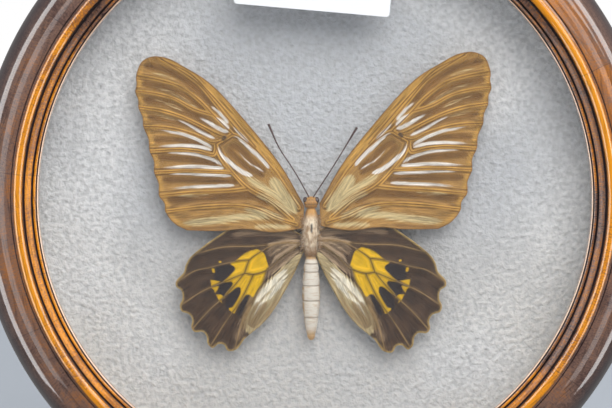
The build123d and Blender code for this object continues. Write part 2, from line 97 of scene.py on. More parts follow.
# ---- Levels and places read from the frame ----
OUTER_RADIUS = max(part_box(name)[1].x for name in BLOCK_NAMES)
FRONT_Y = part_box(BLOCK_NAMES[0])[0].y
BACK_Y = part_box(BLOCK_NAMES[0])[1].y
GLASS_FRONT_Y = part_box("glass_disc")[0].y
LEDGE_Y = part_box("back_cover")[1].y
BOARD_FRONT_Y, BOARD_BACK_Y = (corner.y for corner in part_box("backing_board"))
BOARD_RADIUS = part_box("backing_board")[1].x
FOREWING_BACK_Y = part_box("forewing_left")[1].y
HINDWING_BACK_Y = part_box("hindwing_left")[1].y
ABDOMEN_LOW, ABDOMEN_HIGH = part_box("abdomen")
BODY_X = (ABDOMEN_LOW.x + ABDOMEN_HIGH.x) / 2
BODY_Y = (ABDOMEN_LOW.y + ABDOMEN_HIGH.y) / 2
NECK_HEIGHT = 8.4 * MM
BODY_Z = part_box("thorax")[1].z - NECK_HEIGHT


def from_body(out, back, up):
    """The place that is this many millimetres to the right, back and up from the middle of the thorax."""
    return Vector((BODY_X + out * MM, BODY_Y + back * MM, BODY_Z + up * MM))


# ---------------------------------------------------------------- settings
def length(label, note, millimetres):
    """A size that a user may change."""
    return FloatProperty(name=label, description=note, default=millimetres * MM, unit="LENGTH", precision=5)


def angle(label, note, degrees):
    """An angle that a user may change."""
    return FloatProperty(name=label, description=note, default=radians(degrees), unit="ROTATION")


def amount(label, note, value):
    """A plain number from 0 up that a user may change."""
    return FloatProperty(name=label, description=note, default=value, min=0.0)


def count(label, note, value, least):
    """A whole number that a user may change."""
    return IntProperty(name=label, description=note, default=value, min=least)


def colour(label, note, value):
    """A colour that a user may change."""
    return FloatVectorProperty(
        name=label, description=note, default=value, subtype="COLOR", size=3, min=0.0, max=1.0
    )


class RingSettings(bpy.types.PropertyGroup):
    """Sizes and colours of the lacquered wooden ring."""

    frame_width: length("Frame width", "From the sight edge out to the widest part of the ring", 27.0)
    lip_drop: length("Lip drop", "How far the lip's face stands behind the main bead", 5.0)
    lip_ease: length("Lip ease", "Chamfer of the sight edge", 0.35)
    lip_groove: length("Lip groove", "Width of the hairline between the lip and the small bead", 0.45)
    small_bead: length("Small bead", "Width of the bead beside the lip", 1.05)
    small_bead_rise: length("Small bead rise", "Height of the bead beside the lip", 0.5)
    quirk: length("Quirk", "Width of the groove inside the hollow band", 0.65)
    quirk_depth: length("Quirk depth", "Depth of the narrow grooves", 0.6)
    cove: length("Cove", "Width of the hollow band", 1.9)
    cove_rise: length("Cove rise", "Height that the hollow band climbs", 2.2)
    cove_hollow: length("Cove hollow", "How far the hollow band is scooped out", 0.3)
    deep_quirk: length("Deep quirk", "Width of the groove inside the main bead", 0.9)
    main_bead: length("Main bead", "Width of the frontmost bead", 3.2)
    main_bead_rise: length("Main bead rise", "Height of the frontmost bead", 1.5)
    fillet: length("Fillet", "Width of the flat step outside the main bead", 0.8)
    fillet_drop: length("Fillet drop", "How far the step stands below the main bead's foot", 0.3)
    fine_quirk: length("Fine quirk", "Width of the groove inside the crowned band", 0.35)
    band: length("Band", "Width of the crowned band", 4.9)
    band_fall: length("Band fall", "How far the crowned band falls to the roll", 2.3)
    band_crown: length("Band crown", "Swell of the crowned band", 0.35)
    shoulder_radius: length("Shoulder radius", "Radius at the front of the big roll", 7.5)
    side_length: length("Side", "Straight side behind the widest part", 6.0)
    back_ease: length("Back ease", "Chamfer of the back edge", 1.5)
    glass_land: length("Glass land", "How far the lip covers the glass", 9.5)
    ledge: length("Ledge", "Width of the ledge that carries the turn buttons", 9.5)
    edge_softness: length("Edge softness", "Rounding that sanding and lacquer leave on turned edges", 0.12)
    block_steps: count("Block steps", "Facets round each glued block", 24, 6)
    first_seam: angle("First seam", "First glue joint above the right", -5.0)
    amber: colour("Amber", "Stain on the beads", (0.76, 0.275, 0.01))
    russet: colour("Russet", "Stain where the amber thins out", (0.38, 0.13, 0.022))
    brown: colour("Brown", "Stain on the crowned band", (0.175, 0.1, 0.074))
    umber: colour("Umber", "Stain on the big roll", (0.040, 0.019, 0.020))
    groove: colour("Groove", "Stain gathered in the grooves", (0.012, 0.007, 0.009))
    lip: colour("Lip", "Bare pale wood at the sight edge", (0.84, 0.58, 0.42))


class BoardSettings(bpy.types.PropertyGroup):
    """Sizes and colours of the boards, the glass and the label."""

    spacing: length("Board spacing", "Cell size of the pebbled board's face", 0.74)
    pebble: length("Pebble size", "Size of one pebble of the board's face", 1.45)
    pebble_height: length("Pebble height", "Height of the pebbles", 0.36)
    label_width: length("Label width", "Long side of the paper label", 58.0)
    label_height: length("Label height", "Short side of the paper label", 24.0)
    label_corner: length("Label corner", "Corner radius of the paper label", 1.2)
    label_tilt: angle("Label tilt", "How far the label was stuck on askew", -5.1)
    card: colour("Card", "Face of the pebbled board", (0.78, 0.77, 0.755))
    # Card shade serves both the board's own grey patches and its painted shade.
    card_shade: colour("Card shade", "Where the pebbled board has greyed", (0.57, 0.575, 0.585))
    # Painted warm bounce light on the lower board.
    card_warm_bounce: colour("Card yellowed", "Where the pebbled board has yellowed", (0.70, 0.64, 0.55))
    white_card: colour("White card", "Spacer and mounting pad", (0.84, 0.82, 0.78))
    paper: colour("Paper", "Face of the label", (0.86, 0.86, 0.87))
    hardboard: colour("Hardboard", "Smooth face of the back cover", (0.25, 0.125, 0.055))
    hardboard_fibre: colour("Hardboard fibre", "Paler fibres in the hardboard", (0.42, 0.25, 0.12))


class HardwareSettings(bpy.types.PropertyGroup):
    """Sizes and colours of the turn buttons, the screws and the hanger."""

    hub_radius: length("Hub radius", "Round end of a turn button over its screw", 4.2)
    tip_radius: length("Tip radius", "Round end of a turn button over the cover", 3.0)
    reach: length("Reach", "From the screw to the centre of the tip", 14.0)
    hole_radius: length("Hole radius", "Screw hole of a turn button", 1.56)
    rib_rise: length("Rib rise", "Height of the pressed rib", 0.4)
    wire_radius: length("Wire radius", "Half the thickness of the hanger ring's wire", 0.9)
    ring_width: length("Ring width", "Width of the hanger ring between wire centres", 14.0)
    rivet_radius: length("Rivet radius", "Radius of a rivet's head", 2.5)
    rivet_rise: length("Rivet rise", "Height of a rivet's head", 0.6)
    brass: colour("Brass", "Plating of the turn buttons", (0.72, 0.53, 0.22))
    zinc: colour("Zinc", "Plating of the screws", (0.56, 0.55, 0.50))
    nickel: colour("Nickel", "Plating of the hanger", (0.62, 0.61, 0.58))


class SpecimenSettings(bpy.types.PropertyGroup):
    """Sizes and colours of the butterfly."""

    cell: length("Wing cell", "Cell size of the wing sheets", 0.32)
    membrane: length("Membrane", "Thickness of a wing", 0.25)
    vein_height: length("Vein height", "How far a vein stands out of the wing", 0.13)
    vein_width: length("Vein width", "Half the width of a vein", 0.26)
    pleat_depth: length("Pleat depth", "How far the wing sinks between two veins", 0.55)
    hair_length: length("Hair length", "Longest hairs of the thorax", 1.9)
    hair_count: count("Hair count", "Hairs of the thorax", 2600, 10)
    wing_brown: colour("Wing brown", "Ground of the forewings", (0.42, 0.225, 0.062))
    wing_dark: colour("Wing dark", "Dark streaks of the forewings", (0.15, 0.066, 0.016))
    wing_gold: colour("Wing gold", "Golden scales by the veins and the front edge", (0.62, 0.335, 0.062))
    wing_vein: colour("Wing vein", "Veins of the forewings", (0.2, 0.085, 0.022))
    wing_pale: colour("Wing pale", "White streaks", (0.8, 0.75, 0.68))
    wing_cream: colour("Wing cream", "Cream bands near the body", (0.64, 0.53, 0.28))
    hind_dark: colour("Hind dark", "Ground of the hindwings", (0.044, 0.024, 0.013))
    hind_black: colour("Hind black", "Ovals between the veins", (0.018, 0.013, 0.014))
    hind_brown: colour("Hind brown", "Paler brown near the body and the edge", (0.20, 0.13, 0.075))
    hind_vein: colour("Hind vein", "Veins of the hindwings", (0.25, 0.155, 0.06))
    hind_gold: colour("Hind gold", "Scalloped edge", (0.46, 0.31, 0.11))
    hind_yellow: colour("Hind yellow", "Yellow patch", (0.74, 0.43, 0.006))
    hind_silver: colour("Hind silver", "Pale streak beside the body", (0.75, 0.68, 0.53))
    hind_cream: colour("Hind cream", "Golden cream round the pale streak", (0.46, 0.355, 0.185))
    hind_tan: colour("Hind tan", "Pale brown streaks near the body", (0.40, 0.28, 0.17))
    hind_fold: colour("Hind fold", "Folds in the pale streak", (0.2, 0.125, 0.055))
    hair_cream: colour("Cream hair", "Hair of the thorax", (0.90, 0.76, 0.56))
    hair_tan: colour("Tan hair", "Darker hair of the thorax", (0.4, 0.21, 0.075))
    hair_orange: colour("Orange hair", "Hair of the head and neck", (0.62, 0.3, 0.055))
    abdomen_cream: colour("Abdomen cream", "Scales of the abdomen", (0.72, 0.65, 0.54))
    abdomen_tan: colour("Abdomen tan", "Sides and tip of the abdomen", (0.50, 0.30, 0.12))
    shell_dark: colour("Dark chitin", "Eyes, antennae and legs", (0.045, 0.017, 0.013))


class StageSettings(bpy.types.PropertyGroup):
    """Camera, lights, floor and backdrop."""

    focal_length: amount("Focal length", "Lens of the camera, mm", 98.2)
    camera_distance: length("Camera distance", "From the lens to the lip of the ring", 620.0)
    camera_azimuth: angle("Camera azimuth", "Camera to the right of square on", 1.25)
    camera_elevation: angle("Camera elevation", "Camera above square on", 2.9)
    camera_right: length("Camera right", "Camera shifted to the right", -2.972)
    camera_up: length("Camera up", "Camera shifted up", -1.365)
    key_power: amount("Key power", "Power of the main soft light, W", 19.0)
    panel_power: amount("Panel power", "Power of each side panel, which shows in gloss only, W", 37.5)
    fill: amount("Fill", "Strength of the even light from all round", 0.68)
    room_gloss: amount("Room gloss", "How bright the room in front of the case looks in its gloss", 0.08)
    floor: colour("Floor", "Pale floor", (0.48, 0.52, 0.57))
    backdrop: colour("Backdrop", "White backdrop", (1.0, 1.0, 1.0))


# ---------------------------------------------------------------- node trees
class Wiring:
    """Short calls that add and join the nodes of one tree. Sizes and heights of patterns are in mm."""

    def __init__(self, tree):
        self.tree = tree
        self.shader = tree.nodes.get("Principled BSDF")

    def feed(self, socket, value):
        if isinstance(value, bpy.types.NodeSocket):
            self.tree.links.new(value, socket)
        elif hasattr(socket.default_value, "__len__") and not hasattr(value, "__len__"):
            socket.default_value = [value] * len(socket.default_value)
        elif hasattr(value, "__len__") and len(value) == 3 and len(socket.default_value) == 4:
            socket.default_value = (*value, 1.0)
        else:
            socket.default_value = value

    def give(self, **values):
        """Feeds sockets of the shader, which are named here with _ for a space."""
        for name, value in values.items():
            self.feed(self.shader.inputs[name.replace("_", " ")], value)

    def add(self, kind, settings=None, inputs=None):
        node = self.tree.nodes.new("ShaderNode" + kind)
        for name, value in (settings or {}).items():
            setattr(node, name, value)
        for name, value in (inputs or {}).items():
            self.feed(node.inputs[name], value)
        return node

    def math(self, operation, *values, clamp=False):
        settings = {"operation": operation, "use_clamp": clamp}
        return self.add("Math", settings, dict(enumerate(values))).outputs[0]

    def times(self, first, second):
        return self.math("MULTIPLY", first, second)

    def plus(self, first, second, clamp=False):
        return self.math("ADD", first, second, clamp=clamp)

    def less(self, first, second, clamp=False):
        return self.math("SUBTRACT", first, second, clamp=clamp)

    def times_add(self, value, factor, rest):
        return self.math("MULTIPLY_ADD", value, factor, rest)

    def larger(self, first, second):
        return self.math("MAXIMUM", first, second)

    def size_of(self, value):
        return self.math("ABSOLUTE", value)

    def centred(self, value):
        """How far a value is above one half."""
        return self.less(value, 0.5)

    def between(self, value, low, high, new_low=0.0, new_high=1.0):
        inputs = {"Value": value, "From Min": low, "From Max": high, "To Min": new_low, "To Max": new_high}
        return self.add("MapRange", {"interpolation_type": "SMOOTHSTEP"}, inputs).outputs["Result"]

    def below(self, value, low, high, most=1.0):
        """Most where a value is under low, fading to nothing at high."""
        return self.between(value, low, high, most, 0.0)

    def blend(self, factor, first, second):
        return self.add("Mix", None, {0: factor, 2: first, 3: second}).outputs[0]

    def mix(self, factor, first, second, blend="MIX"):
        settings = {"data_type": "RGBA", "blend_type": blend, "clamp_factor": True}
        return self.add("Mix", settings, {0: factor, 6: first, 7: second}).outputs[2]

    def over(self, under, shade, mask, strength):
        """A shade laid over another where a mask says, at part of its strength."""
        return self.mix(self.times(mask, strength), under, shade)

    def ramp(self, value, stops):
        node = self.add("ValToRGB", None, {"Fac": value})
        elements = node.color_ramp.elements
        while len(elements) < len(stops):
            elements.new(1.0)
        for element, (place, shade) in zip(elements, stops):
            element.position = place
            element.color = (*shade, 1.0) if hasattr(shade, "__len__") else (shade, shade, shade, 1.0)
        return node.outputs["Color"]

    def place(self):
        return self.add("TexCoord").outputs["Object"]

    def axes(self, place):
        return self.add("SeparateXYZ", None, {"Vector": place}).outputs

    def length_of(self, place):
        return self.add("VectorMath", {"operation": "LENGTH"}, {0: place}).outputs["Value"]

    def radius(self, axes):
        """Distance from the axis of the case."""
        flat = self.add("CombineXYZ", None, {"X": axes["X"], "Z": axes["Z"]})
        return self.length_of(flat.outputs["Vector"])

    def stretched(self, place, scale, turn=(0.0, 0.0, 0.0)):
        inputs = {"Vector": place, "Scale": scale, "Rotation": turn}
        return self.add("Mapping", None, inputs).outputs["Vector"]

    def noise(self, place, size, detail=2.0, roughness=0.5, distortion=0.0):
        """Soft noise with features of about this size."""
        inputs = {"Vector": place, "Scale": 1.0 / (size * MM), "Detail": detail, "Roughness": roughness}
        inputs["Distortion"] = distortion
        return self.add("TexNoise", None, inputs).outputs["Fac"]

    def cells(self, place, size):
        return self.add("TexVoronoi", None, {"Vector": place, "Scale": 1.0 / (size * MM)}).outputs["Distance"]

    def attribute(self, name, output="Fac"):
        return self.add("Attribute", {"attribute_name": name}).outputs[output]

    def bump(self, height, distance, strength=1.0, normal=None):
        inputs = {"Height": height, "Distance": distance * MM, "Strength": strength}
        if normal is not None:
            inputs["Normal"] = normal
        return self.add("Bump", None, inputs).outputs["Normal"]

    def effect(self, name, **inputs):
        node = self.add("Group", {"node_tree": shared_effect(name)})
        for label, value in inputs.items():
            self.feed(node.inputs[label], value)
        return node.outputs["Value"]

    def replace_surface(self, share, other):
        """Shows another shader in place of the main one, by a share."""
        mixed = self.add("MixShader", None, {0: share, 1: self.shader.outputs[0], 2: other}).outputs[0]
        self.feed(self.tree.nodes["Material Output"].inputs["Surface"], mixed)


def wood_grain(w, given):
    """Straight wood grain, long along the first axis of Place."""
    fibres = w.noise(w.stretched(given["Place"], (0.05, 1.0, 1.0)), 0.7, 3.0, 0.6)
    rings = w.noise(w.stretched(given["Place"], (0.10, 1.0, 1.0)), 4.5, 2.0, 0.5, 0.6)
    return w.blend(given["Fineness"], rings, fibres)


def fine_speckle(w, given):
    """Fine uneven speckle; Size is in mm."""
    node = w.add("TexNoise", None, {"Vector": given["Place"], "Detail": 3.0, "Roughness": 0.65})
    w.feed(node.inputs["Scale"], w.math("DIVIDE", 1.0 / MM, given["Size"]))
    return node.outputs["Fac"]


def handling_wear(w, given):
    """Scattered fine scratches and rubbed patches, as on handled metal."""
    scratches = w.noise(w.stretched(given["Place"], (0.08, 1.0, 1.0), (0.3, 0.5, 0.2)), 0.35, 2.0, 0.7)
    patches = w.noise(given["Place"], 4.0, 3.0, 0.6)
    return w.blend(0.45, scratches, patches)


def wing_scales(w, given):
    """Rows of tiny scales that lie along the first axis of Place."""
    rows = w.noise(w.stretched(given["Place"], (0.16, 1.0, 1.0)), 0.22, 3.0, 0.7)
    dust = w.noise(given["Place"], 0.45, 2.0, 0.6)
    return w.blend(0.4, rows, dust)


# Each effect with the defaults of its numbers; all of them are given a Place.
EFFECTS = {
    "Wood Grain": (wood_grain, {"Fineness": 0.5}),
    "Fine Speckle": (fine_speckle, {"Size": 1.0}),
    "Handling Wear": (handling_wear, {}),
    "Wing Scales": (wing_scales, {}),
}


def shared_effect(name):
    """A node group that gives out one value. It is made once and used by several finishes."""
    tree = bpy.data.node_groups.get(name)
    if tree:
        return tree
    make, numbers = EFFECTS[name]
    tree = bpy.data.node_groups.new(name, "ShaderNodeTree")
    tree.interface.new_socket(name="Place", in_out="INPUT", socket_type="NodeSocketVector")
    for label, default in numbers.items():
        socket = tree.interface.new_socket(name=label, in_out="INPUT", socket_type="NodeSocketFloat")
        socket.default_value = default
    tree.interface.new_socket(name="Value", in_out="OUTPUT", socket_type="NodeSocketFloat")
    given = tree.nodes.new("NodeGroupInput").outputs
    result = tree.nodes.new("NodeGroupOutput")
    tree.links.new(make(Wiring(tree), given), result.inputs["Value"])
    return tree


def new_finish(name, roughness, **plain):
    """A material with its wiring; plain values stay on the shader's own sockets."""
    material = bpy.data.materials.new(name)
    material.use_nodes = True
    w = Wiring(material.node_tree)
    w.give(Roughness=roughness, **plain)
    return material, w


def toned(shade, factor):
    """A colour made darker or lighter."""
    return tuple(channel * factor for channel in shade)


# ---------------------------------------------------------------- meshes
def verts_in(geom):
    return [item for item in geom if isinstance(item, bmesh.types.BMVert)]


def thickened(bm, height):
    """Gives the flat faces of a bmesh a thickness, up from where they lie."""
    raised = verts_in(bmesh.ops.extrude_face_region(bm, geom=bm.faces[:])["geom"])
    bmesh.ops.translate(bm, vec=(0, 0, height), verts=raised)
    bmesh.ops.recalc_face_normals(bm, faces=bm.faces)


def capped(bm):
    """Closes the open ends of a bmesh and turns its faces outwards."""
    bmesh.ops.holes_fill(bm, edges=[edge for edge in bm.edges if edge.is_boundary], sides=0)
    bmesh.ops.recalc_face_normals(bm, faces=bm.faces)


def turned(bm, profile, centre, axis, steps):
    """Turns a line of places right round an axis; its two ends lie on the axis."""
    verts = [bm.verts.new(place) for place in profile]
    edges = [bm.edges.new(pair) for pair in zip(verts, verts[1:])]
    bmesh.ops.spin(
        bm, geom=verts + edges, cent=centre, axis=axis, angle=2 * pi, steps=steps, use_merge=True
    )
    bmesh.ops.remove_doubles(bm, verts=bm.verts, dist=1e-7)
    bmesh.ops.recalc_face_normals(bm, faces=bm.faces)


def finished(bm, name, body, material, replaces=(), sharp_angle=40.0):
    """Turns a bmesh into a piece that rides on a body, with smooth faces and crisp edges."""
    mesh = bpy.data.meshes.new(name)
    bm.to_mesh(mesh)
    bm.free()
    return placed(mesh, name, body, material, replaces, sharp_angle)


def placed(mesh, name, body, material, replaces=(), sharp_angle=40.0):
    """Makes a mesh a piece of the case."""
    mesh.shade_smooth()
    mesh.set_sharp_from_angle(angle=radians(sharp_angle))
    mesh.materials.append(material)
    piece = bpy.data.objects.new(name, mesh)
    bpy.context.scene.collection.objects.link(piece)
    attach(piece, body)
    if replaces:
        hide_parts(*replaces)
    return piece


def dress(node, material):
    """Gives a CAD node its finish."""
    slots = frame["nodes"][node].data.materials
    slots.clear()
    slots.append(material)


def store(mesh, name, values):
    """Keeps one number, or one place, for each vertex of a mesh."""
    kind, field = ("FLOAT_VECTOR", "vector") if values.ndim == 2 else ("FLOAT", "value")
    layer = mesh.attributes.new(name, kind, "POINT")
    layer.data.foreach_set(field, np.ascontiguousarray(values, np.float32).ravel())


def places_of(mesh):
    """The places of a mesh's vertices, one row each."""
    places = np.empty(len(mesh.vertices) * 3, np.float32)
    mesh.vertices.foreach_get("co", places)
    return places.reshape(-1, 3).astype(float)


def arc_through(start, middle, end, steps):
    """Points along the round arc through three points, without the first."""
    (ax, ay), (bx, by), (cx, cy) = start, middle, end
    a, b, c = ax * ax + ay * ay, bx * bx + by * by, cx * cx + cy * cy
    area = 2 * (ax * (by - cy) + bx * (cy - ay) + cx * (ay - by))
    ox = (a * (by - cy) + b * (cy - ay) + c * (ay - by)) / area
    oy = (a * (cx - bx) + b * (ax - cx) + c * (bx - ax)) / area
    first = atan2(ay - oy, ax - ox)
    sweep = (atan2(cy - oy, cx - ox) - first + pi) % (2 * pi) - pi
    radius = hypot(ax - ox, ay - oy)
    angles = [first + sweep * step / steps for step in range(1, steps + 1)]
    return [(ox + radius * cos(angle), oy + radius * sin(angle)) for angle in angles]


def wire(name, points, radii, sides=8):
    """A smooth round wire or limb along points, as a mesh whose thickness follows radii."""
    curve = bpy.data.curves.new(name, "CURVE")
    curve.dimensions = "3D"
    curve.bevel_depth = 1.0
    curve.bevel_resolution = sides // 2 - 2
    curve.use_fill_caps = True
    curve.resolution_u = 6
    spline = curve.splines.new("NURBS")
    spline.points.add(len(points) - 1)
    for point, place, radius in zip(spline.points, points, radii):
        point.co = (*place, 1.0)
        point.radius = radius
    spline.order_u = 3
    spline.use_endpoint_u = True
    holder = bpy.data.objects.new(name, curve)
    bpy.context.scene.collection.objects.link(holder)
    bpy.context.view_layer.update()
    mesh = bpy.data.meshes.new_from_object(holder.evaluated_get(bpy.context.evaluated_depsgraph_get()))
    bpy.data.objects.remove(holder)
    bpy.data.curves.remove(curve)
    return mesh


def smooth_line(points, step=0.45):
    """Close points along a smooth curve through the given ones."""
    knots = np.array(points, float)
    before, after = 2 * knots[0] - knots[1], 2 * knots[-1] - knots[-2]
    knots = np.vstack([before, knots, after])
    pieces = []
    for p0, p1, p2, p3 in zip(knots, knots[1:], knots[2:], knots[3:]):
        # Centripetal spacing keeps the curve from looping where the points crowd.
        gaps = [max(np.linalg.norm(b - a), 1e-9) ** 0.5 for a, b in ((p0, p1), (p1, p2), (p2, p3))]
        count = max(1, int(np.linalg.norm(p2 - p1) / step))
        t = np.linspace(0, 1, count, endpoint=False)[:, None]
        m1 = (p2 - p1) + gaps[1] * ((p1 - p0) / gaps[0] - (p2 - p0) / (gaps[0] + gaps[1]))
        m2 = (p2 - p1) + gaps[1] * ((p3 - p2) / gaps[2] - (p3 - p1) / (gaps[1] + gaps[2]))
        leaving, arriving = (t**3 - 2 * t**2 + t) * m1, (t**3 - t**2) * m2
        pieces.append((2 * t**3 - 3 * t**2 + 1) * p1 + leaving + (3 * t**2 - 2 * t**3) * p2 + arriving)
    return np.vstack([*pieces, knots[-2][None]])


def distance_to(line, places):
    """How far each place is from a line of points, and how far along the line its nearest point lies."""
    nearest = np.full(len(places), np.inf)
    along = np.zeros(len(places))
    runs = np.linalg.norm(np.diff(line, axis=0), axis=1)
    total, done = max(runs.sum(), 1e-9), 0.0
    for start, end, run in zip(line, line[1:], runs):
        ray = end - start
        share_along = np.clip((places - start) @ ray / max(run * run, 1e-12), 0, 1)
        gap = np.hypot(*(places - start - share_along[:, None] * ray).T)
        closer = gap < nearest
        nearest[closer] = gap[closer]
        along[closer] = (done + share_along[closer] * run) / total
        done += run
    return nearest, along


def inside(outline, places):
    """True for each place inside a closed outline."""
    x, z = places.T
    hits = np.zeros(len(places), bool)
    for (ax, az), (bx, bz) in zip(outline, np.roll(outline, -1, axis=0)):
        if az != bz:
            crosses = (az > z) != (bz > z)
            hits ^= crosses & (x < (bx - ax) * (z - az) / (bz - az) + ax)
    return hits


def eased(values):
    """Smooth step of values already between 0 and 1."""
    values = np.clip(values, 0, 1)
    return values * values * (3 - 2 * values)


def brushed(places, strokes, softness, fades=(0.2, 0.2)):
    """Mask of brush strokes, each a half width and its points; both ends fade over shares of its length."""
    mask = np.zeros(len(places))
    for half_width, points in strokes:
        distance, along = distance_to(smooth_line(points), places)
        taper = np.clip(np.minimum(along / fades[0], (1 - along) / fades[1]), 0.08, 1) ** 0.6
        mask = np.maximum(mask, eased((half_width * taper - distance) / softness + 0.5) * eased(1.4 * taper))
    return mask


def filled(places, outlines, softness, rounded=True):
    """Mask of closed shapes."""
    mask = np.zeros(len(places))
    for points in outlines:
        closed = np.array([*points, points[0]])
        outline = smooth_line(closed) if rounded else closed
        distance, _ = distance_to(outline, places)
        signed = np.where(inside(outline[:-1], places), distance, -distance)
        mask = np.maximum(mask, eased(signed / softness + 0.5))
    return mask


# ---------------------------------------------------------------- ring of glued blocks
# The mouldings from the sight edge out to the roll, each with how far amber shows through its stain.
MOULDINGS = {
    "lip_ease": 0.12,
    "lip_groove": 0.02,
    "small_bead": 0.80,
    "quirk": 0.0,
    "cove": 0.70,
    "deep_quirk": 0.02,
    "main_bead": 0.94,
    "fillet": 0.38,
    "fine_quirk": 0.10,
    "band": 0.36,
}


def borders(s, first, unit):
    """Where each moulding starts, and then where the roll starts."""
    widths = (getattr(s, name) / unit for name in MOULDINGS)
    return list(accumulate(widths, initial=first))


def ring_section(s):
    """Outline of the moulding as (radius, depth), from the lip round the front and the back to the rebate."""
    sight, lip_end, bead, bead_end, cove, cove_end, main, main_end, fillet_end, band, roll = borders(
        s, OUTER_RADIUS - s.frame_width, 1.0
    )
    lip_y = FRONT_Y + s.lip_drop
    groove_y = lip_y + s.quirk_depth
    cove_low_y = lip_y - s.quirk_depth
    cove_high_y = cove_low_y - s.cove_rise
    spring_y = FRONT_Y + s.main_bead_rise
    fillet_y = spring_y + s.fillet_drop
    band_low_y = spring_y + s.band_fall
    widest_y = BACK_Y - s.back_ease - s.side_length
    rebate = sight + s.glass_land
    recess = rebate + s.ledge
    points = [(sight, lip_y + s.lip_ease), (lip_end, lip_y)]

    def groove(radius, depth_y, end_y):
        """A narrow groove as far as a radius, where it climbs to the next moulding."""
        points.extend([(points[-1][0], depth_y), (radius, depth_y), (radius, end_y)])

    def swell(end, push, steps):
        """A round arc to end, pushed off its chord at the middle."""
        middle = [(a + b) / 2 + c for a, b, c in zip(points[-1], end, push)]
        points.extend(arc_through(points[-1], middle, end, steps))

    groove(bead, groove_y, lip_y)
    swell((bead_end, lip_y), (0, -s.small_bead_rise), 8)
    groove(cove, groove_y, cove_low_y)
    swell((cove_end, cove_high_y), (0.6 * s.cove_hollow, 0.75 * s.cove_hollow), 8)
    groove(main, cove_high_y + s.quirk_depth, spring_y)
    swell((main_end, spring_y), (0, -s.main_bead_rise), 18)
    points += [(main_end, fillet_y), (fillet_end, fillet_y)]
    groove(band, fillet_y + s.quirk_depth, fillet_y)
    swell((roll, band_low_y), (0.45 * s.band_crown, -0.9 * s.band_crown), 10)

    # The roll: a shoulder that turns into a flatter flank, which meets the straight side.
    shoulder, width, depth = s.shoulder_radius, OUTER_RADIUS - roll, widest_y - band_low_y
    flank = (width**2 + depth**2 - 2 * depth * shoulder) / (2 * (width - shoulder))
    turn = atan2(flank - width, depth - shoulder)
    for angle in np.linspace(0, turn, 15)[1:]:
        points.append((roll + shoulder * sin(angle), band_low_y + shoulder * (1 - cos(angle))))
    for angle in np.linspace(turn, pi / 2, 17)[1:]:
        points.append((OUTER_RADIUS - flank * (1 - sin(angle)), widest_y - flank * cos(angle)))
    points += [(OUTER_RADIUS, BACK_Y - s.back_ease), (OUTER_RADIUS - s.back_ease, BACK_Y), (recess, BACK_Y)]
    points += [(recess, LEDGE_Y), (rebate, LEDGE_Y), (rebate, GLASS_FRONT_Y), (sight, GLASS_FRONT_Y)]
    return points


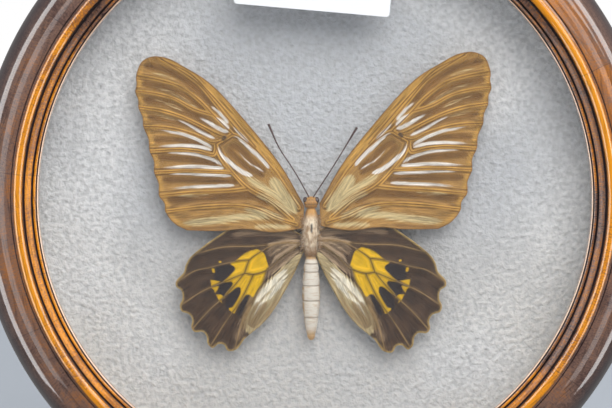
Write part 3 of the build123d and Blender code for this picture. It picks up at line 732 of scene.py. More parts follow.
def lacquered_wood(s):
    """Stained wood under thick gloss lacquer: amber beads, dark grooves, brown band and dark roll."""
    material, w = new_finish(
        "Lacquered Wood", 0.45, Specular_IOR_Level=0.1, Coat_Weight=1.0, Coat_Roughness=0.07, Coat_IOR=1.6
    )
    place = w.place()
    axes = w.axes(place)
    radius = w.radius(axes)
    sight = OUTER_RADIUS - s.frame_width
    out = w.math("DIVIDE", w.less(radius, sight), s.frame_width)

    # How far amber shows through the stain, at shares of the ring's width from the sight edge outwards.
    blur = 0.0035
    starts = borders(s, 0.0, s.frame_width)
    stops = []
    for start, end, amber in zip(starts, starts[1:], MOULDINGS.values()):
        stops += [(start + blur, amber), (end - blur, amber)]
    start = dict(zip([*MOULDINGS, "roll"], starts))
    stops += [(start["roll"] + 0.10, 0.30), (start["roll"] + 0.33, 0.10), (1.0, 0.08)]
    stain = w.ramp(out, stops)

    # The lacquer was rubbed down in the hollow band, on the crowned band and round the side.
    def along(first, after, fade):
        entered = w.between(out, start[first] - blur, start[first])
        return w.times(entered, w.below(out, start[after], start[after] + fade))

    on_side = w.between(out, start["roll"] + 0.18, start["roll"] + 0.22)
    on_bands = w.larger(along("cove", "deep_quirk", blur), along("band", "roll", 2 * blur))
    rubbed = w.times(w.larger(on_bands, on_side), 0.75)

    grain_place = w.attribute("grain", "Vector")
    grain = w.effect("Wood Grain", Place=grain_place, Fineness=0.3)
    fibres = w.effect("Wood Grain", Place=grain_place, Fineness=1.0)
    flecks = w.noise(w.stretched(grain_place, (1.0, 0.3, 0.3)), 0.45, 3.0, 0.7)
    clouds = w.noise(place, 11.0, 3.0, 0.6)
    # Painted light: the inner mouldings are painted lighter on the left and below, and the outer ones at the
    # upper right, where light falls on them.
    painted_light_lower_left = w.between(w.times_add(axes["X"], -0.6, w.times(axes["Z"], -0.9)), -0.02, 0.055)
    painted_light_upper_right = w.between(w.plus(axes["X"], w.times(axes["Z"], 0.75)), 0.09, 0.16)
    inner = w.below(out, start["main_bead"] - 0.02, start["main_bead"])
    painted_light_outer = w.times_add(painted_light_upper_right, 0.60, w.times_add(painted_light_lower_left, 0.16, 0.74))
    # Painted light and the wood's own uneven staining together set how much amber shows.
    stain_unevenness_and_light = w.blend(inner, painted_light_outer, w.times_add(painted_light_lower_left, 0.42, 0.52))
    for unevenness, strength in ((clouds, 1.2), (grain, 0.6), (flecks, 1.6), (w.attribute("tone"), 0.16)):
        stain_unevenness_and_light = w.plus(stain_unevenness_and_light, w.times(w.centred(unevenness), strength))
    shades = [(0.0, s.groove), (0.10, s.umber), (0.30, s.brown), (0.52, s.russet), (0.80, s.amber)]
    wood = w.ramp(w.times(stain, stain_unevenness_and_light), shades)
    wood = w.over(wood, (0.02, 0.012, 0.012), w.between(fibres, 0.50, 0.68), 0.45)

    lip_wood = w.mix(w.between(flecks, 0.4, 0.7), s.lip, (0.70, 0.42, 0.26))
    wood = w.mix(w.below(out, 0.8 * start["lip_groove"], 1.1 * start["lip_groove"]), wood, lip_wood)
    wood = w.mix(w.below(w.attribute("joint_gap"), 0.05, 0.26, 0.4), wood, s.groove)
    # The back was stained but never lacquered.
    recess = sight + s.glass_land + s.ledge
    behind_glass = w.between(axes["Y"], GLASS_FRONT_Y, GLASS_FRONT_Y + MM)
    in_rebate = w.times(behind_glass, w.below(radius, recess, recess + 0.4 * MM))
    flat_edge = OUTER_RADIUS - s.back_ease
    at_back = w.between(axes["Y"], BACK_Y - 0.4 * MM, BACK_Y)
    on_back = w.times(at_back, w.below(radius, flat_edge - MM, flat_edge))
    raw = w.larger(in_rebate, on_back)
    raw_wood = w.mix(grain, (0.16, 0.08, 0.035), (0.40, 0.23, 0.11))
    w.give(Base_Color=w.mix(raw, wood, raw_wood))
    w.give(Coat_Weight=w.less(1.0, w.times_add(raw, 0.95, rubbed), clamp=True))
    w.give(Roughness=w.times_add(fibres, 0.25, 0.32), Normal=w.bump(fibres, 0.03, 0.6))
    skin = w.noise(place, 4.0, 1.0, 0.4)
    w.give(Coat_Normal=w.bump(skin, 0.04, 0.7, w.bump(fibres, 0.012, 0.5)))
    return material


class AddRingBlocks(bpy.types.Operator):
    """Add the twelve glued and turned blocks of the lacquered ring."""

    bl_idname = "case.add_ring_blocks"
    bl_label = "Ring Blocks"

    def execute(self, context):
        s = context.scene.case_ring
        section = ring_section(s)
        material = lacquered_wood(s)
        block_angle = 2 * pi / len(BLOCK_NAMES)
        for number, node in enumerate(BLOCK_NAMES):
            seam = s.first_seam + block_angle * (number + 1)
            bm = bmesh.new()
            start = [bm.verts.new((radius * cos(seam), y, radius * sin(seam))) for radius, y in section]
            edges = [bm.edges.new(pair) for pair in zip(start, start[1:] + start[:1])]
            bmesh.ops.spin(
                bm, geom=start + edges, cent=(0, 0, 0), axis=(0, 1, 0), angle=block_angle, steps=s.block_steps
            )
            corners = [edge for edge in bm.edges if edge.calc_face_angle(0.0) > radians(28)]
            bmesh.ops.bevel(
                bm, geom=corners, offset=s.edge_softness, affect="EDGES",
                segments=2, profile=0.5, material=-1,
                clamp_overlap=True,
            )
            capped(bm)
            piece = finished(bm, f"ring_block_{number + 1:02d}", "case", material, [node])
            self.mark_grain(piece.data, number, seam, block_angle)
        return {"FINISHED"}

    def mark_grain(self, mesh, number, seam, block_angle):
        """The grain of each block runs along it; joint_gap is the distance to its glue joints, in mm."""
        places = places_of(mesh)
        middle = seam - block_angle / 2
        along = places @ np.array((-sin(middle), 0, cos(middle)))
        across = places @ np.array((cos(middle), 0, sin(middle)))
        grain = np.stack([along + 0.37 * number, across + 0.11 * number, places[:, 1]], axis=1)
        store(mesh, "grain", grain)
        radius = np.hypot(places[:, 0], places[:, 2])
        off_middle = np.abs(np.arctan2(along, across))
        store(mesh, "joint_gap", (block_angle / 2 - off_middle) * radius / MM)
        store(mesh, "tone", np.full(len(places), random.Random(number).random()))


# ---------------------------------------------------------------- glass, boards and label
def clear_glass():
    """Clear picture glass that lets lamps shine through, with faint dust and wiping marks."""
    material, w = new_finish(
        "Clear Glass", 0.0, Base_Color=(0.99, 0.99, 0.99, 1.0), IOR=1.45, Transmission_Weight=1.0
    )
    dust = w.noise(w.place(), 20.0, 4.0, 0.7)
    w.give(Roughness=w.between(dust, 0.55, 0.8, 0.0, 0.03))
    rays = w.add("LightPath").outputs
    open_rays = w.larger(rays["Is Shadow Ray"], rays["Is Diffuse Ray"])
    w.replace_surface(open_rays, w.add("BsdfTransparent", None, {"Color": (0.955, 0.957, 0.96)}).outputs[0])
    return material


def plain_card(name, tint):
    """Smooth pulp board with faint fibres."""
    material, w = new_finish(name, 0.85)
    place = w.place()
    pulp = w.effect("Fine Speckle", Place=place, Size=0.9)
    fibres = w.noise(w.stretched(place, (0.3, 1.0, 1.0), (0.4, 0.7, 0.2)), 0.6, 3.0, 0.7)
    w.give(Base_Color=w.mix(w.between(pulp, 0.3, 0.7), toned(tint, 0.86), tint))
    w.give(Normal=w.bump(fibres, 0.04, 0.5))
    return material


def pebbled_card(s):
    """Off-white pebbled board, grey in places, with painted shade in its middle and in its hollows, and
    painted warm light below.
    """
    material, w = new_finish("Pebbled Card", 0.8, Specular_IOR_Level=0.2)
    place = w.place()
    axes = w.axes(place)
    fine = w.effect("Fine Speckle", Place=place, Size=0.7)
    clouds = w.noise(place, 50.0, 2.0, 0.5)
    # Painted shade by radius: the middle is greyer and the board grows lighter towards the rim.
    painted_shade_by_radius = w.between(w.radius(axes), 0.055, 0.095, 0.65, -0.5)
    greyed_and_shade = w.plus(w.between(clouds, 0.35, 0.7), painted_shade_by_radius, clamp=True)
    # Painted shade: the board is darker in the middle, above and below the specimen.
    high = w.between(w.size_of(axes["Z"]), 0.035, 0.08)
    middle = w.between(w.size_of(axes["X"]), 0.02, 0.08, 0.7, 0.15)
    tint = w.mix(w.plus(greyed_and_shade, w.times(high, middle)), s.card, s.card_shade)
    # Painted warm bounce light on the lower part of the board.
    painted_warm_bounce = w.times(w.below(axes["Z"], -0.05, 0.01), w.between(clouds, 0.3, 0.6, 0.3, 1.0))
    tint = w.over(tint, s.card_warm_bounce, painted_warm_bounce, 0.5)
    # Painted shade: the hollows between the pebbles are darker than the crowns.
    tint = w.mix(w.below(w.attribute("crown"), -0.7, 0.5, 0.5), tint, (0.46, 0.46, 0.46))
    dimples = w.noise(place, 1.4, 1.0, 0.5)
    # Painted shade: the low parts of the dimples are darkened as well.
    tint = w.mix(w.below(dimples, 0.35, 0.55, 0.4), tint, (0.42, 0.42, 0.41))
    w.give(Base_Color=w.mix(w.between(fine, 0.35, 0.7, 0.0, 0.12), tint, (0.5, 0.5, 0.5)))
    w.give(Normal=w.bump(fine, 0.06, 0.5, w.bump(dimples, 0.9, 0.9)))
    return material


def label_paper(s):
    """White self-adhesive paper, blank, a little clouded and fibrous."""
    material, w = new_finish("Label Paper", 0.6)
    place = w.place()
    fibres = w.noise(w.stretched(place, (0.35, 1.0, 1.0), (0.0, 0.6, 0.0)), 0.5, 4.0, 0.7)
    clouds = w.noise(place, 12.0, 2.0, 0.5)
    tint = w.mix(w.between(clouds, 0.3, 0.75, 0.0, 0.6), s.paper, (0.80, 0.81, 0.83))
    w.give(Base_Color=w.mix(w.between(fibres, 0.5, 0.75, 0.0, 0.25), tint, (0.74, 0.74, 0.74)))
    w.give(Normal=w.bump(fibres, 0.02, 0.5))
    return material


def hardboard(s):
    """Brown hardboard: felted fibres, darker tempering patches and a few scuffs."""
    material, w = new_finish("Hardboard", 0.62)
    place = w.place()
    fibres = w.noise(w.stretched(place, (0.22, 1.0, 1.0), (0.0, 0.5, 0.0)), 0.6, 4.0, 0.75)
    crossing = w.noise(w.stretched(place, (1.0, 1.0, 0.22), (0.0, 0.3, 0.0)), 0.6, 4.0, 0.75)
    felt = w.larger(fibres, crossing)
    clouds = w.noise(place, 30.0, 3.0, 0.55)
    tint = w.mix(w.between(felt, 0.52, 0.78), s.hardboard, s.hardboard_fibre)
    tint = w.mix(w.between(clouds, 0.35, 0.75, 0.0, 0.45), tint, (0.13, 0.062, 0.028))
    scuffs = w.between(w.effect("Handling Wear", Place=place), 0.6, 0.75, 0.0, 0.4)
    w.give(Base_Color=w.mix(scuffs, tint, (0.5, 0.34, 0.2)))
    w.give(Roughness=w.between(felt, 0.3, 0.8, 0.5, 0.75), Normal=w.bump(felt, 0.06, 0.5))
    return material


class AddBoards(bpy.types.Operator):
    """Add the pebbled backing board and finish the glass, the spacer, the back cover and the pad."""

    bl_idname = "case.add_boards"
    bl_label = "Glass and Boards"

    def execute(self, context):
        s = context.scene.case_boards
        dress("glass_disc", clear_glass())
        white = plain_card("White Card", tuple(s.white_card))
        dress("spacer_ring", white)
        dress("mounting_pad", white)
        dress("back_cover", hardboard(s))

        cells = ceil(2 * BOARD_RADIUS / s.spacing)
        bm = bmesh.new()
        bmesh.ops.create_grid(bm, x_segments=cells, y_segments=cells, size=1.0)
        crown = bm.verts.layers.float.new("crown")
        for vert in bm.verts:
            u, v = vert.co.xy
            # A square of cells drawn out to a disc.
            x, z = BOARD_RADIUS * u * sqrt(1 - v * v / 2), BOARD_RADIUS * v * sqrt(1 - u * u / 2)
            # The pebbles are a little longer across than up.
            spot = Vector((0.72 * x, 0.0, z)) / s.pebble
            height = noise.noise(spot) + 0.4 * noise.noise(spot * 2.1 + Vector((7, 3, 1)))
            vert[crown] = height
            edge = min(1.0, (BOARD_RADIUS - hypot(x, z)) / MM)
            vert.co = (x, BOARD_FRONT_Y - s.pebble_height * height * edge, z)
        rim = [edge for edge in bm.edges if edge.is_boundary]
        for vert in verts_in(bmesh.ops.extrude_edge_only(bm, edges=rim)["geom"]):
            vert.co.y = BOARD_BACK_Y
        capped(bm)
        finished(bm, "pebbled_board", "case", pebbled_card(s), ["backing_board"], 60)
        return {"FINISHED"}


class AddLabel(bpy.types.Operator):
    """Add the blank paper label that is stuck to the glass."""

    bl_idname = "case.add_label"
    bl_label = "Paper Label"

    def execute(self, context):
        s = context.scene.case_boards
        low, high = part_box("paper_label")
        centre = (low + high) / 2
        bm = bmesh.new()
        bmesh.ops.create_grid(bm, x_segments=1, y_segments=1, size=0.5)
        bmesh.ops.scale(bm, vec=(s.label_width, s.label_height, 1.0), verts=bm.verts)
        bmesh.ops.bevel(
            bm, geom=bm.verts[:], offset=s.label_corner, affect="VERTICES",
            segments=6, profile=0.5, material=-1,
        )
        thickened(bm, high.y - low.y)
        # Stand the label up with its face to the front, askew as it was stuck on.
        turn = Matrix.Rotation(-s.label_tilt, 4, "Y") @ Matrix.Rotation(pi / 2, 4, "X")
        stand = Matrix.Translation((centre.x, high.y, centre.z))
        bmesh.ops.transform(bm, matrix=stand @ turn, verts=bm.verts)
        finished(bm, "blank_label", "case", label_paper(s), ["paper_label"])
        return {"FINISHED"}


# ---------------------------------------------------------------- hardware on the back
def plated(name, tint, worn):
    """Plated pressed metal with fine scratches, dull patches and bare metal where it is rubbed."""
    material, w = new_finish(name, 0.3, Metallic=1.0)
    place = w.place()
    wear = w.effect("Handling Wear", Place=place)
    spots = w.effect("Fine Speckle", Place=place, Size=1.2)
    shade = w.mix(w.between(wear, 0.35, 0.7, 0.0, 0.5), tint, toned(tint, 0.55))
    w.give(Base_Color=w.mix(w.between(spots, 0.6, 0.75, 0.0, 0.6), shade, worn))
    w.give(Roughness=w.between(wear, 0.3, 0.75, 0.22, 0.5))
    w.give(Normal=w.bump(wear, 0.02, 0.5))
    return material


# Sizes of the pressed rib and the eased edge of a turn button, and the corner radii of the hanger ring.
RIB_LENGTH = 7.0 * MM
RIB_WIDTH = 1.6 * MM
PLATE_EASE = 0.22 * MM
TOP_CORNER = 1.5 * MM
BOTTOM_CORNER = 4.0 * MM


class AddHardware(bpy.types.Operator):
    """Add the turn buttons, the rivets and the hanger ring, and finish the screws and the strap."""

    bl_idname = "case.add_hardware"
    bl_label = "Turn Buttons and Hanger"

    def execute(self, context):
        s = context.scene.case_hardware
        nickel = plated("Nickel Plate", tuple(s.nickel), (0.34, 0.30, 0.25))
        dress("hanger_strap", nickel)
        dress("turn_button_screws", plated("Zinc Plate", tuple(s.zinc), (0.36, 0.33, 0.26)))
        brass = plated("Brass Plate", tuple(s.brass), (0.42, 0.27, 0.12))
        for joint in frame["joints"]:
            if joint["child"] in BUTTON_NAMES:
                self.add_button(s, joint, brass)
        self.add_rivets(s, nickel)
        self.add_hanger_ring(s, nickel)
        return {"FINISHED"}

    def add_button(self, s, joint, material):
        """A pressed strip with round ends, eased edges and a raised rib, turned to the case's axis."""
        node = joint["child"]
        low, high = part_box(node)
        thickness = high.y - low.y - s.rib_rise
        lean = asin((s.hub_radius - s.tip_radius) / s.reach)
        bm = bmesh.new()
        # Round ends joined by straight sides, which touch both where their radii lean the same way.
        first = bm.verts.new((s.hub_radius * sin(lean), s.hub_radius * cos(lean), 0))
        hub = bmesh.ops.spin(bm, geom=[first], cent=(0, 0, 0), axis=(0, 0, 1), angle=pi + 2 * lean, steps=20)
        last = verts_in(hub["geom_last"])[0]
        start = bm.verts.new((s.reach + s.tip_radius * sin(lean), -s.tip_radius * cos(lean), 0))
        tip = bmesh.ops.spin(
            bm, geom=[start], cent=(s.reach, 0, 0), axis=(0, 0, 1), angle=pi - 2 * lean, steps=16
        )
        bm.edges.new((last, start))
        bm.edges.new((verts_in(tip["geom_last"])[0], first))
        bmesh.ops.create_circle(bm, cap_ends=False, segments=28, radius=s.hole_radius)
        bmesh.ops.triangle_fill(bm, use_beauty=True, edges=bm.edges[:], normal=(0, 0, 1))
        thickened(bm, thickness)
        rims = [edge for edge in bm.edges if edge.calc_face_angle(0) > radians(50)]
        bmesh.ops.bevel(
            bm, geom=rims, offset=PLATE_EASE, affect="EDGES", segments=3, profile=0.5, material=-1
        )
        # The pressed rib is half of a round-ended bar.
        rib = bmesh.ops.create_uvsphere(bm, u_segments=20, v_segments=10, radius=1.0)["verts"]
        for vert in rib:
            middle = (RIB_LENGTH - RIB_WIDTH) / 2 * (1 if vert.co.x > 0 else -1)
            vert.co = (vert.co.x * RIB_WIDTH / 2 + middle, vert.co.y * RIB_WIDTH / 2, vert.co.z * s.rib_rise)
        bmesh.ops.translate(bm, vec=((s.reach + s.hub_radius) / 2, 0, thickness), verts=rib)
        pivot = Vector(joint["pos_m"])
        towards = -Vector((pivot.x, 0, pivot.z)).normalized()
        aside = Vector((0, 1, 0)).cross(towards)
        stand = Matrix((towards, aside, (0, 1, 0))).transposed().to_4x4()
        bmesh.ops.transform(bm, matrix=Matrix.Translation((pivot.x, low.y, pivot.z)) @ stand, verts=bm.verts)
        finished(bm, f"brass_{node}", node, material, [node])

    def add_rivets(self, s, material):
        """Two rivets with low domed heads."""
        low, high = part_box("hanger_rivets")
        rim, shank, head_y = s.rivet_radius, 0.56 * s.rivet_radius, high.y - s.rivet_rise
        rim_y = head_y + 0.1 * MM
        dome = arc_through((rim, rim_y), (0.6 * rim, high.y - 0.17 * MM), (0, high.y), 8)
        section = [(0, low.y), (shank, low.y), (shank, head_y), (rim, head_y), (rim, rim_y), *dome]
        bm = bmesh.new()
        for centre_z in (low.z + rim, high.z - rim):
            turned(bm, [(radius, y, centre_z) for radius, y in section], (0, 0, centre_z), (0, 1, 0), 32)
        finished(bm, "hanger_rivet_pair", "case", material, ["hanger_rivets"])

    def add_hanger_ring(self, s, material):
        """The D-shaped wire ring that hangs in the strap."""
        low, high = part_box("hanger_ring")
        y = (low.y + high.y) / 2
        top, bottom = high.z - s.wire_radius, low.z + s.wire_radius
        half = s.ring_width / 2
        corners = [(-half, top, TOP_CORNER), (half, top, TOP_CORNER)]
        corners += [(half, bottom, BOTTOM_CORNER), (-half, bottom, BOTTOM_CORNER)]
        path = []
        for index, (x, z, radius) in enumerate(corners):
            # Quarter turn round each corner of the ring.
            cx, cz = x - radius * (1 if x > 0 else -1), z - radius * (1 if z == top else -1)
            for step in range(9):
                turn = pi - (index + step / 8) * pi / 2
                path.append(Vector((cx + radius * cos(turn), y, cz + radius * sin(turn))))
        bm = bmesh.new()
        rings = []
        for before, here, after in zip(path[-1:] + path, path, path[1:] + path[:1]):
            turn = Vector((0, 0, 1)).rotation_difference((after - before).normalized()).to_matrix().to_4x4()
            ring = bmesh.ops.create_circle(
                bm, cap_ends=False, segments=14, radius=s.wire_radius, matrix=Matrix.Translation(here) @ turn
            )
            rings.append(dict.fromkeys(edge for vert in ring["verts"] for edge in vert.link_edges))
        for near, far in zip(rings, rings[1:] + rings[:1]):
            bmesh.ops.bridge_loops(bm, edges=[*near, *far])
        bmesh.ops.recalc_face_normals(bm, faces=bm.faces)
        finished(bm, "hanger_wire_ring", "hanger_ring", material, ["hanger_ring"], 60)


# ---------------------------------------------------------------- wings
# Millimetres out from the body and up from the middle of the thorax, on the right-hand wing.
# Each margin list is the front, outer and hind margin, end to end.
FOREWING_FRONT = [
    (2.6, 9.5), (11.0, 24.0), (21.5, 37.5), (38.0, 55.5), (48.0, 61.9), (54.0, 65.0), (59.8, 65.7),
]
FOREWING_MARGINS = [
    # The outer margin dips a little between the ends of the veins.
    FOREWING_FRONT
    + [
        (63.8, 63.8), (65.6, 60.2), (66.1, 57.6), (65.9, 55.2), (66.4, 52.3), (65.3, 49.4), (65.2, 46.3),
        (63.7, 42.8), (63.4, 39.2), (61.5, 34.6), (61.1, 30.1), (59.4, 26.0), (59.4, 22.0), (57.7, 17.6),
        (57.6, 13.2), (55.5, 10.1), (55.2, 7.2), (51.8, 2.6), (47.0, 0.0),
    ],
    [(47.0, 0.0), (35.0, -0.2), (24.5, 0.5), (14.0, -0.7), (2.6, 1.0)],
]
FOREWING_VEINS = [
    [(4.6, 8.5), (12.7, 21.0), (20.8, 30.6), (27.4, 37.5), (35.9, 47.9), (43.0, 56.0), (54.3, 63.5)],
    [(20.8, 31.6), (29.6, 42.2), (37.5, 51.2), (45.8, 59.4), (53.0, 63.0)],
    [(20.8, 30.6), (26.0, 34.7), (29.4, 36.3), (31.8, 35.2), (33.6, 34.2), (36.0, 32.7)],
    [(29.4, 36.3), (36.9, 43.7), (42.0, 49.0), (49.2, 54.3), (56.4, 56.7), (63.6, 58.1)],
    [(36.9, 43.7), (44.3, 46.0), (51.7, 49.9), (58.9, 51.8), (64.8, 52.6)],
    [(32.2, 35.4), (34.9, 36.2), (42.1, 39.9), (49.3, 43.2), (56.5, 45.4), (64.4, 46.6)],
    [(33.7, 34.0), (37.2, 33.3), (42.1, 35.5), (49.3, 37.9), (56.5, 39.1), (62.2, 39.3)],
    [(36.0, 32.7), (36.0, 30.5), (36.8, 28.8), (42.1, 29.9), (49.3, 30.6), (59.9, 30.1)],
    [(30.0, 22.1), (37.2, 22.4), (47.1, 22.6), (58.8, 22.1)],
    [(23.7, 15.9), (30.8, 15.1), (44.4, 14.4), (56.2, 13.4)],
    [(5.5, 2.4), (12.9, 4.8), (20.1, 8.1), (27.4, 9.4), (39.7, 9.1), (54.7, 7.4)],
    [(36.0, 32.7), (34.5, 28.4), (29.8, 22.1), (23.7, 15.9), (15.2, 11.1), (6.9, 4.3)],
]
# Brush strokes: half width in mm, then the points.
FOREWING_WHITE = [
    (0.78, [(31.2, 34.7), (28.3, 35.4), (26.0, 33.7), (23.1, 30.9),
            (19.8, 28.1), (17.0, 25.2), (15.6, 22.9)]),
    (0.85, [(33.6, 33.0), (34.9, 31.6), (33.8, 28.6), (31.2, 26.2),
            (28.3, 23.8), (25.1, 21.7), (21.7, 20.5)]),
    (0.55, [(29.8, 40.4), (28.3, 38.0), (26.0, 35.8), (23.4, 33.2)]),
    (0.71, [(43.0, 43.2), (39.2, 41.1), (35.9, 39.2), (32.6, 37.6), (30.7, 37.5)]),
    (0.71, [(36.4, 43.1), (33.5, 41.0), (30.9, 38.2)]),
    (0.60, [(38.3, 47.5), (34.5, 44.3), (31.0, 40.3)]),
    (0.52, [(51.6, 42.4), (46.3, 39.9), (42.1, 37.5), (38.3, 35.6), (35.9, 34.6)]),
    (0.64, [(58.3, 38.2), (53.0, 37.3), (48.7, 36.5), (44.9, 35.2),
            (41.6, 33.7), (38.3, 31.9), (37.2, 30.6)]),
    (0.64, [(59.5, 31.7), (54.4, 32.0), (48.2, 32.2), (43.0, 31.8), (39.3, 30.9), (37.0, 30.2)]),
    (0.60, [(56.0, 29.5), (47.3, 29.1), (43.1, 28.6), (38.3, 27.2), (35.5, 26.0), (33.2, 24.2)]),
    (0.67, [(57.5, 23.7), (52.1, 24.0), (47.3, 24.3), (42.1, 24.2), (36.4, 23.8), (32.2, 23.6)]),
    (0.55, [(55.5, 21.3), (48.8, 21.4), (42.1, 21.1), (35.5, 20.9), (29.3, 20.6)]),
    (0.64, [(54.5, 15.7), (46.4, 16.4), (40.2, 16.7), (34.5, 16.9), (28.4, 17.2)]),
    (0.26, [(28.3, 30.9), (23.6, 25.7), (18.9, 22.9), (17.5, 21.8)]),
]
FOREWING_CREAM = [
    (1.3, [(25.1, 21.0), (21.3, 18.1), (16.5, 15.3), (11.8, 12.0), (7.1, 7.2)]),
    (0.9, [(21.3, 14.2), (16.5, 11.9), (11.8, 9.0), (7.5, 5.1)]),
    (1.0, [(26.0, 8.0), (18.9, 7.0), (14.2, 5.6), (9.4, 3.7)]),
    (1.4, [(50.0, 2.6), (37.9, 3.6), (28.4, 4.9), (21.3, 5.4), (14.5, 4.4)]),
    (0.8, [(22.0, 1.5), (16.5, 1.6), (11.8, 1.6), (7.1, 1.5)]),
    (2.6, [(15.5, 20.5), (11.5, 14.5), (7.5, 9.5), (5.0, 6.0)]),
]
FOREWING_BANDS = [
    (0.7, [(51.5, 13.0), (42.2, 13.3), (37.0, 13.6)]),
    (0.6, [(62.0, 59.6), (56.0, 58.6), (50.0, 56.6)]),
    (0.45, [(60.5, 49.9), (53.0, 47.4), (47.0, 44.4)]),
    (0.5, [(61.5, 54.6), (54.0, 52.6), (46.0, 48.2), (40.0, 44.2)]),
    (0.5, [(61.5, 44.2), (54.0, 42.8), (48.0, 40.8)]),
]
FOREWING_DARK = [
    (1.35, [(64.0, 62.6), (55.3, 60.9), (48.1, 57.0), (42.0, 52.2), (36.4, 46.3)]),
    (1.45, [(64.6, 55.8), (54.3, 53.4), (45.8, 49.4), (39.2, 45.1)]),
    (1.55, [(64.4, 49.9), (54.4, 48.0), (47.2, 44.8), (40.2, 41.6), (35.4, 38.6)]),
    (1.35, [(62.4, 43.0), (49.6, 41.0), (42.1, 38.4), (37.3, 35.6)]),
    (1.25, [(60.2, 34.4), (49.7, 34.3), (42.1, 32.6), (39.3, 31.5)]),
    (1.35, [(58.8, 27.8), (47.4, 27.0), (38.3, 25.8), (34.5, 24.2)]),
    (1.35, [(57.2, 19.3), (45.0, 19.2), (35.5, 19.1), (27.0, 18.1)]),
    (1.60, [(56.0, 11.2), (40.3, 12.3), (28.4, 13.0), (21.3, 12.7), (14.8, 9.0)]),
    (1.30, [(31.5, 32.3), (28.4, 31.6), (25.0, 28.9), (21.3, 25.6), (16.8, 21.6)]),
    (1.20, [(31.8, 31.8), (29.0, 28.6), (25.0, 24.8), (20.5, 22.0), (17.0, 20.6)]),
    (0.45, [(18.6, 35.4), (10.6, 24.4), (4.2, 13.4), (3.5, 7.0)]),
    (0.60, [(50.0, 1.0), (40.0, 0.8), (30.0, 1.3)]),
]
FOREWING_SPOT = [(0.75, [(32.0, 35.8), (32.9, 34.9), (33.8, 34.2)])]
FOREWING_GOLD = [
    (1.5, [(10.0, 20.0), (20.8, 33.9), (30.5, 45.0), (40.0, 55.0), (50.0, 62.3), (57.5, 64.3)]),
    (0.5, [(63.9, 62.0), (64.9, 53.0), (62.4, 41.5), (58.8, 27.5), (56.2, 14.5), (51.2, 3.7), (45.5, 1.2)]),
]
HINDWING_MARGINS = [
    [(2.6, -2.2), (12.0, 2.4), (24.0, 2.8), (33.0, -0.5)],
    # Five rounded teeth with notches between them.
    [
        (33.0, -0.5), (40.7, -5.9), (45.8, -10.2), (47.6, -13.2), (48.4, -16.0), (51.3, -19.4),
        (51.3, -21.4), (49.3, -23.0), (48.9, -26.0), (49.9, -28.6), (49.3, -30.8), (46.4, -32.0),
        (45.2, -34.2), (45.6, -37.0), (44.4, -38.7), (41.2, -38.7), (39.8, -40.4), (39.3, -43.4),
        (37.4, -44.9), (35.3, -43.3), (33.2, -43.6), (31.7, -45.9), (28.6, -45.5), (25.3, -41.3),
    ],
    [(25.3, -41.3), (16.6, -33.5), (7.5, -18.5), (2.6, -7.5)],
]
HINDWING_VEINS = [
    [(3.6, -4.8), (9.3, -4.4), (15.6, -5.4), (22.0, -6.0), (33.4, -6.4), (43.0, -8.7)],
    [(3.6, -4.8), (13.5, -5.2), (17.8, -7.3), (23.3, -11.2), (24.1, -12.9), (25.3, -16.3)],
    [(23.3, -11.2), (27.5, -11.6), (33.4, -12.8), (38.5, -14.2), (44.0, -15.4), (51.0, -19.7)],
    [(25.3, -16.3), (33.4, -19.7), (41.5, -23.3), (48.6, -27.9)],
    [(25.3, -16.3), (28.4, -20.1), (32.6, -24.8), (39.0, -30.7), (44.9, -37.3)],
    [(3.6, -4.8), (7.2, -7.3), (11.4, -10.3), (15.2, -14.1), (17.3, -15.4), (21.8, -16.7), (25.3, -16.3)],
    [(21.8, -16.7), (26.7, -26.5), (32.6, -35.0), (37.4, -42.6)],
    [(16.5, -14.5), (18.6, -20.5), (24.1, -30.7), (26.3, -35.0), (29.0, -45.0)],
]
HINDWING_YELLOW = [
    # The patch, with a spike along each vein and a black finger between each pair of spikes.
    [
        (20.5, -7.1), (23.3, -7.9), (25.4, -9.0), (28.8, -11.7), (30.7, -12.7), (29.2, -13.8),
        (28.8, -14.8), (31.5, -17.9), (33.4, -19.7), (31.7, -19.6), (30.0, -19.6), (29.7, -20.6),
        (32.6, -24.6), (30.7, -23.5), (28.4, -21.8), (27.0, -21.7), (26.7, -23.5), (29.4, -28.8),
        (30.7, -30.3), (29.4, -31.6), (28.0, -29.0), (25.8, -25.8), (24.6, -24.4), (23.5, -24.5),
        (22.2, -25.4), (20.3, -22.4), (18.0, -19.2), (17.3, -16.2), (16.3, -13.9), (16.9, -11.6),
        (18.0, -8.6),
    ],
]
# Pointed yellow marks beyond the black ovals.
HINDWING_SPIKES = [
    [(38.2, -18.9), (34.6, -19.5), (35.9, -20.3), (37.9, -21.2)],
    [(38.0, -21.8), (35.0, -21.2), (35.6, -22.6), (36.6, -23.9), (36.9, -22.6)],
    [(36.1, -24.6), (34.2, -24.5), (32.9, -25.6), (34.3, -26.2), (33.9, -27.6), (35.0, -26.7)],
]
HINDWING_YELLOW_DOTS = [
    (0.50, [(37.4, -14.4), (36.9, -16.2)]),
    (0.42, [(34.6, -11.7), (34.5, -12.3)]),
    (0.30, [(22.2, -5.9), (21.8, -6.1)]),
    (0.50, [(30.9, -29.5), (30.5, -30.4)]),
    (0.45, [(29.5, -30.8), (29.2, -31.5)]),
]
HINDWING_BLACK = [
    [
        (36.2, -13.8), (32.6, -13.3), (30.0, -13.4), (29.0, -14.4), (31.3, -17.5), (33.0, -19.2),
        (35.6, -19.6), (36.8, -18.0), (36.6, -15.4),
    ],
    [(35.6, -21.4), (32.6, -19.9), (30.3, -19.7), (29.8, -20.7), (32.6, -24.3), (33.5, -25.8), (35.1, -23.9)],
    [(30.7, -23.5), (28.4, -21.8), (26.9, -21.8), (26.7, -23.5), (30.5, -29.4), (32.0, -30.3), (32.6, -27.7)],
    [(23.5, -24.5), (24.1, -26.9), (26.3, -31.6), (28.0, -32.4), (26.7, -28.2), (25.0, -25.2)],
]
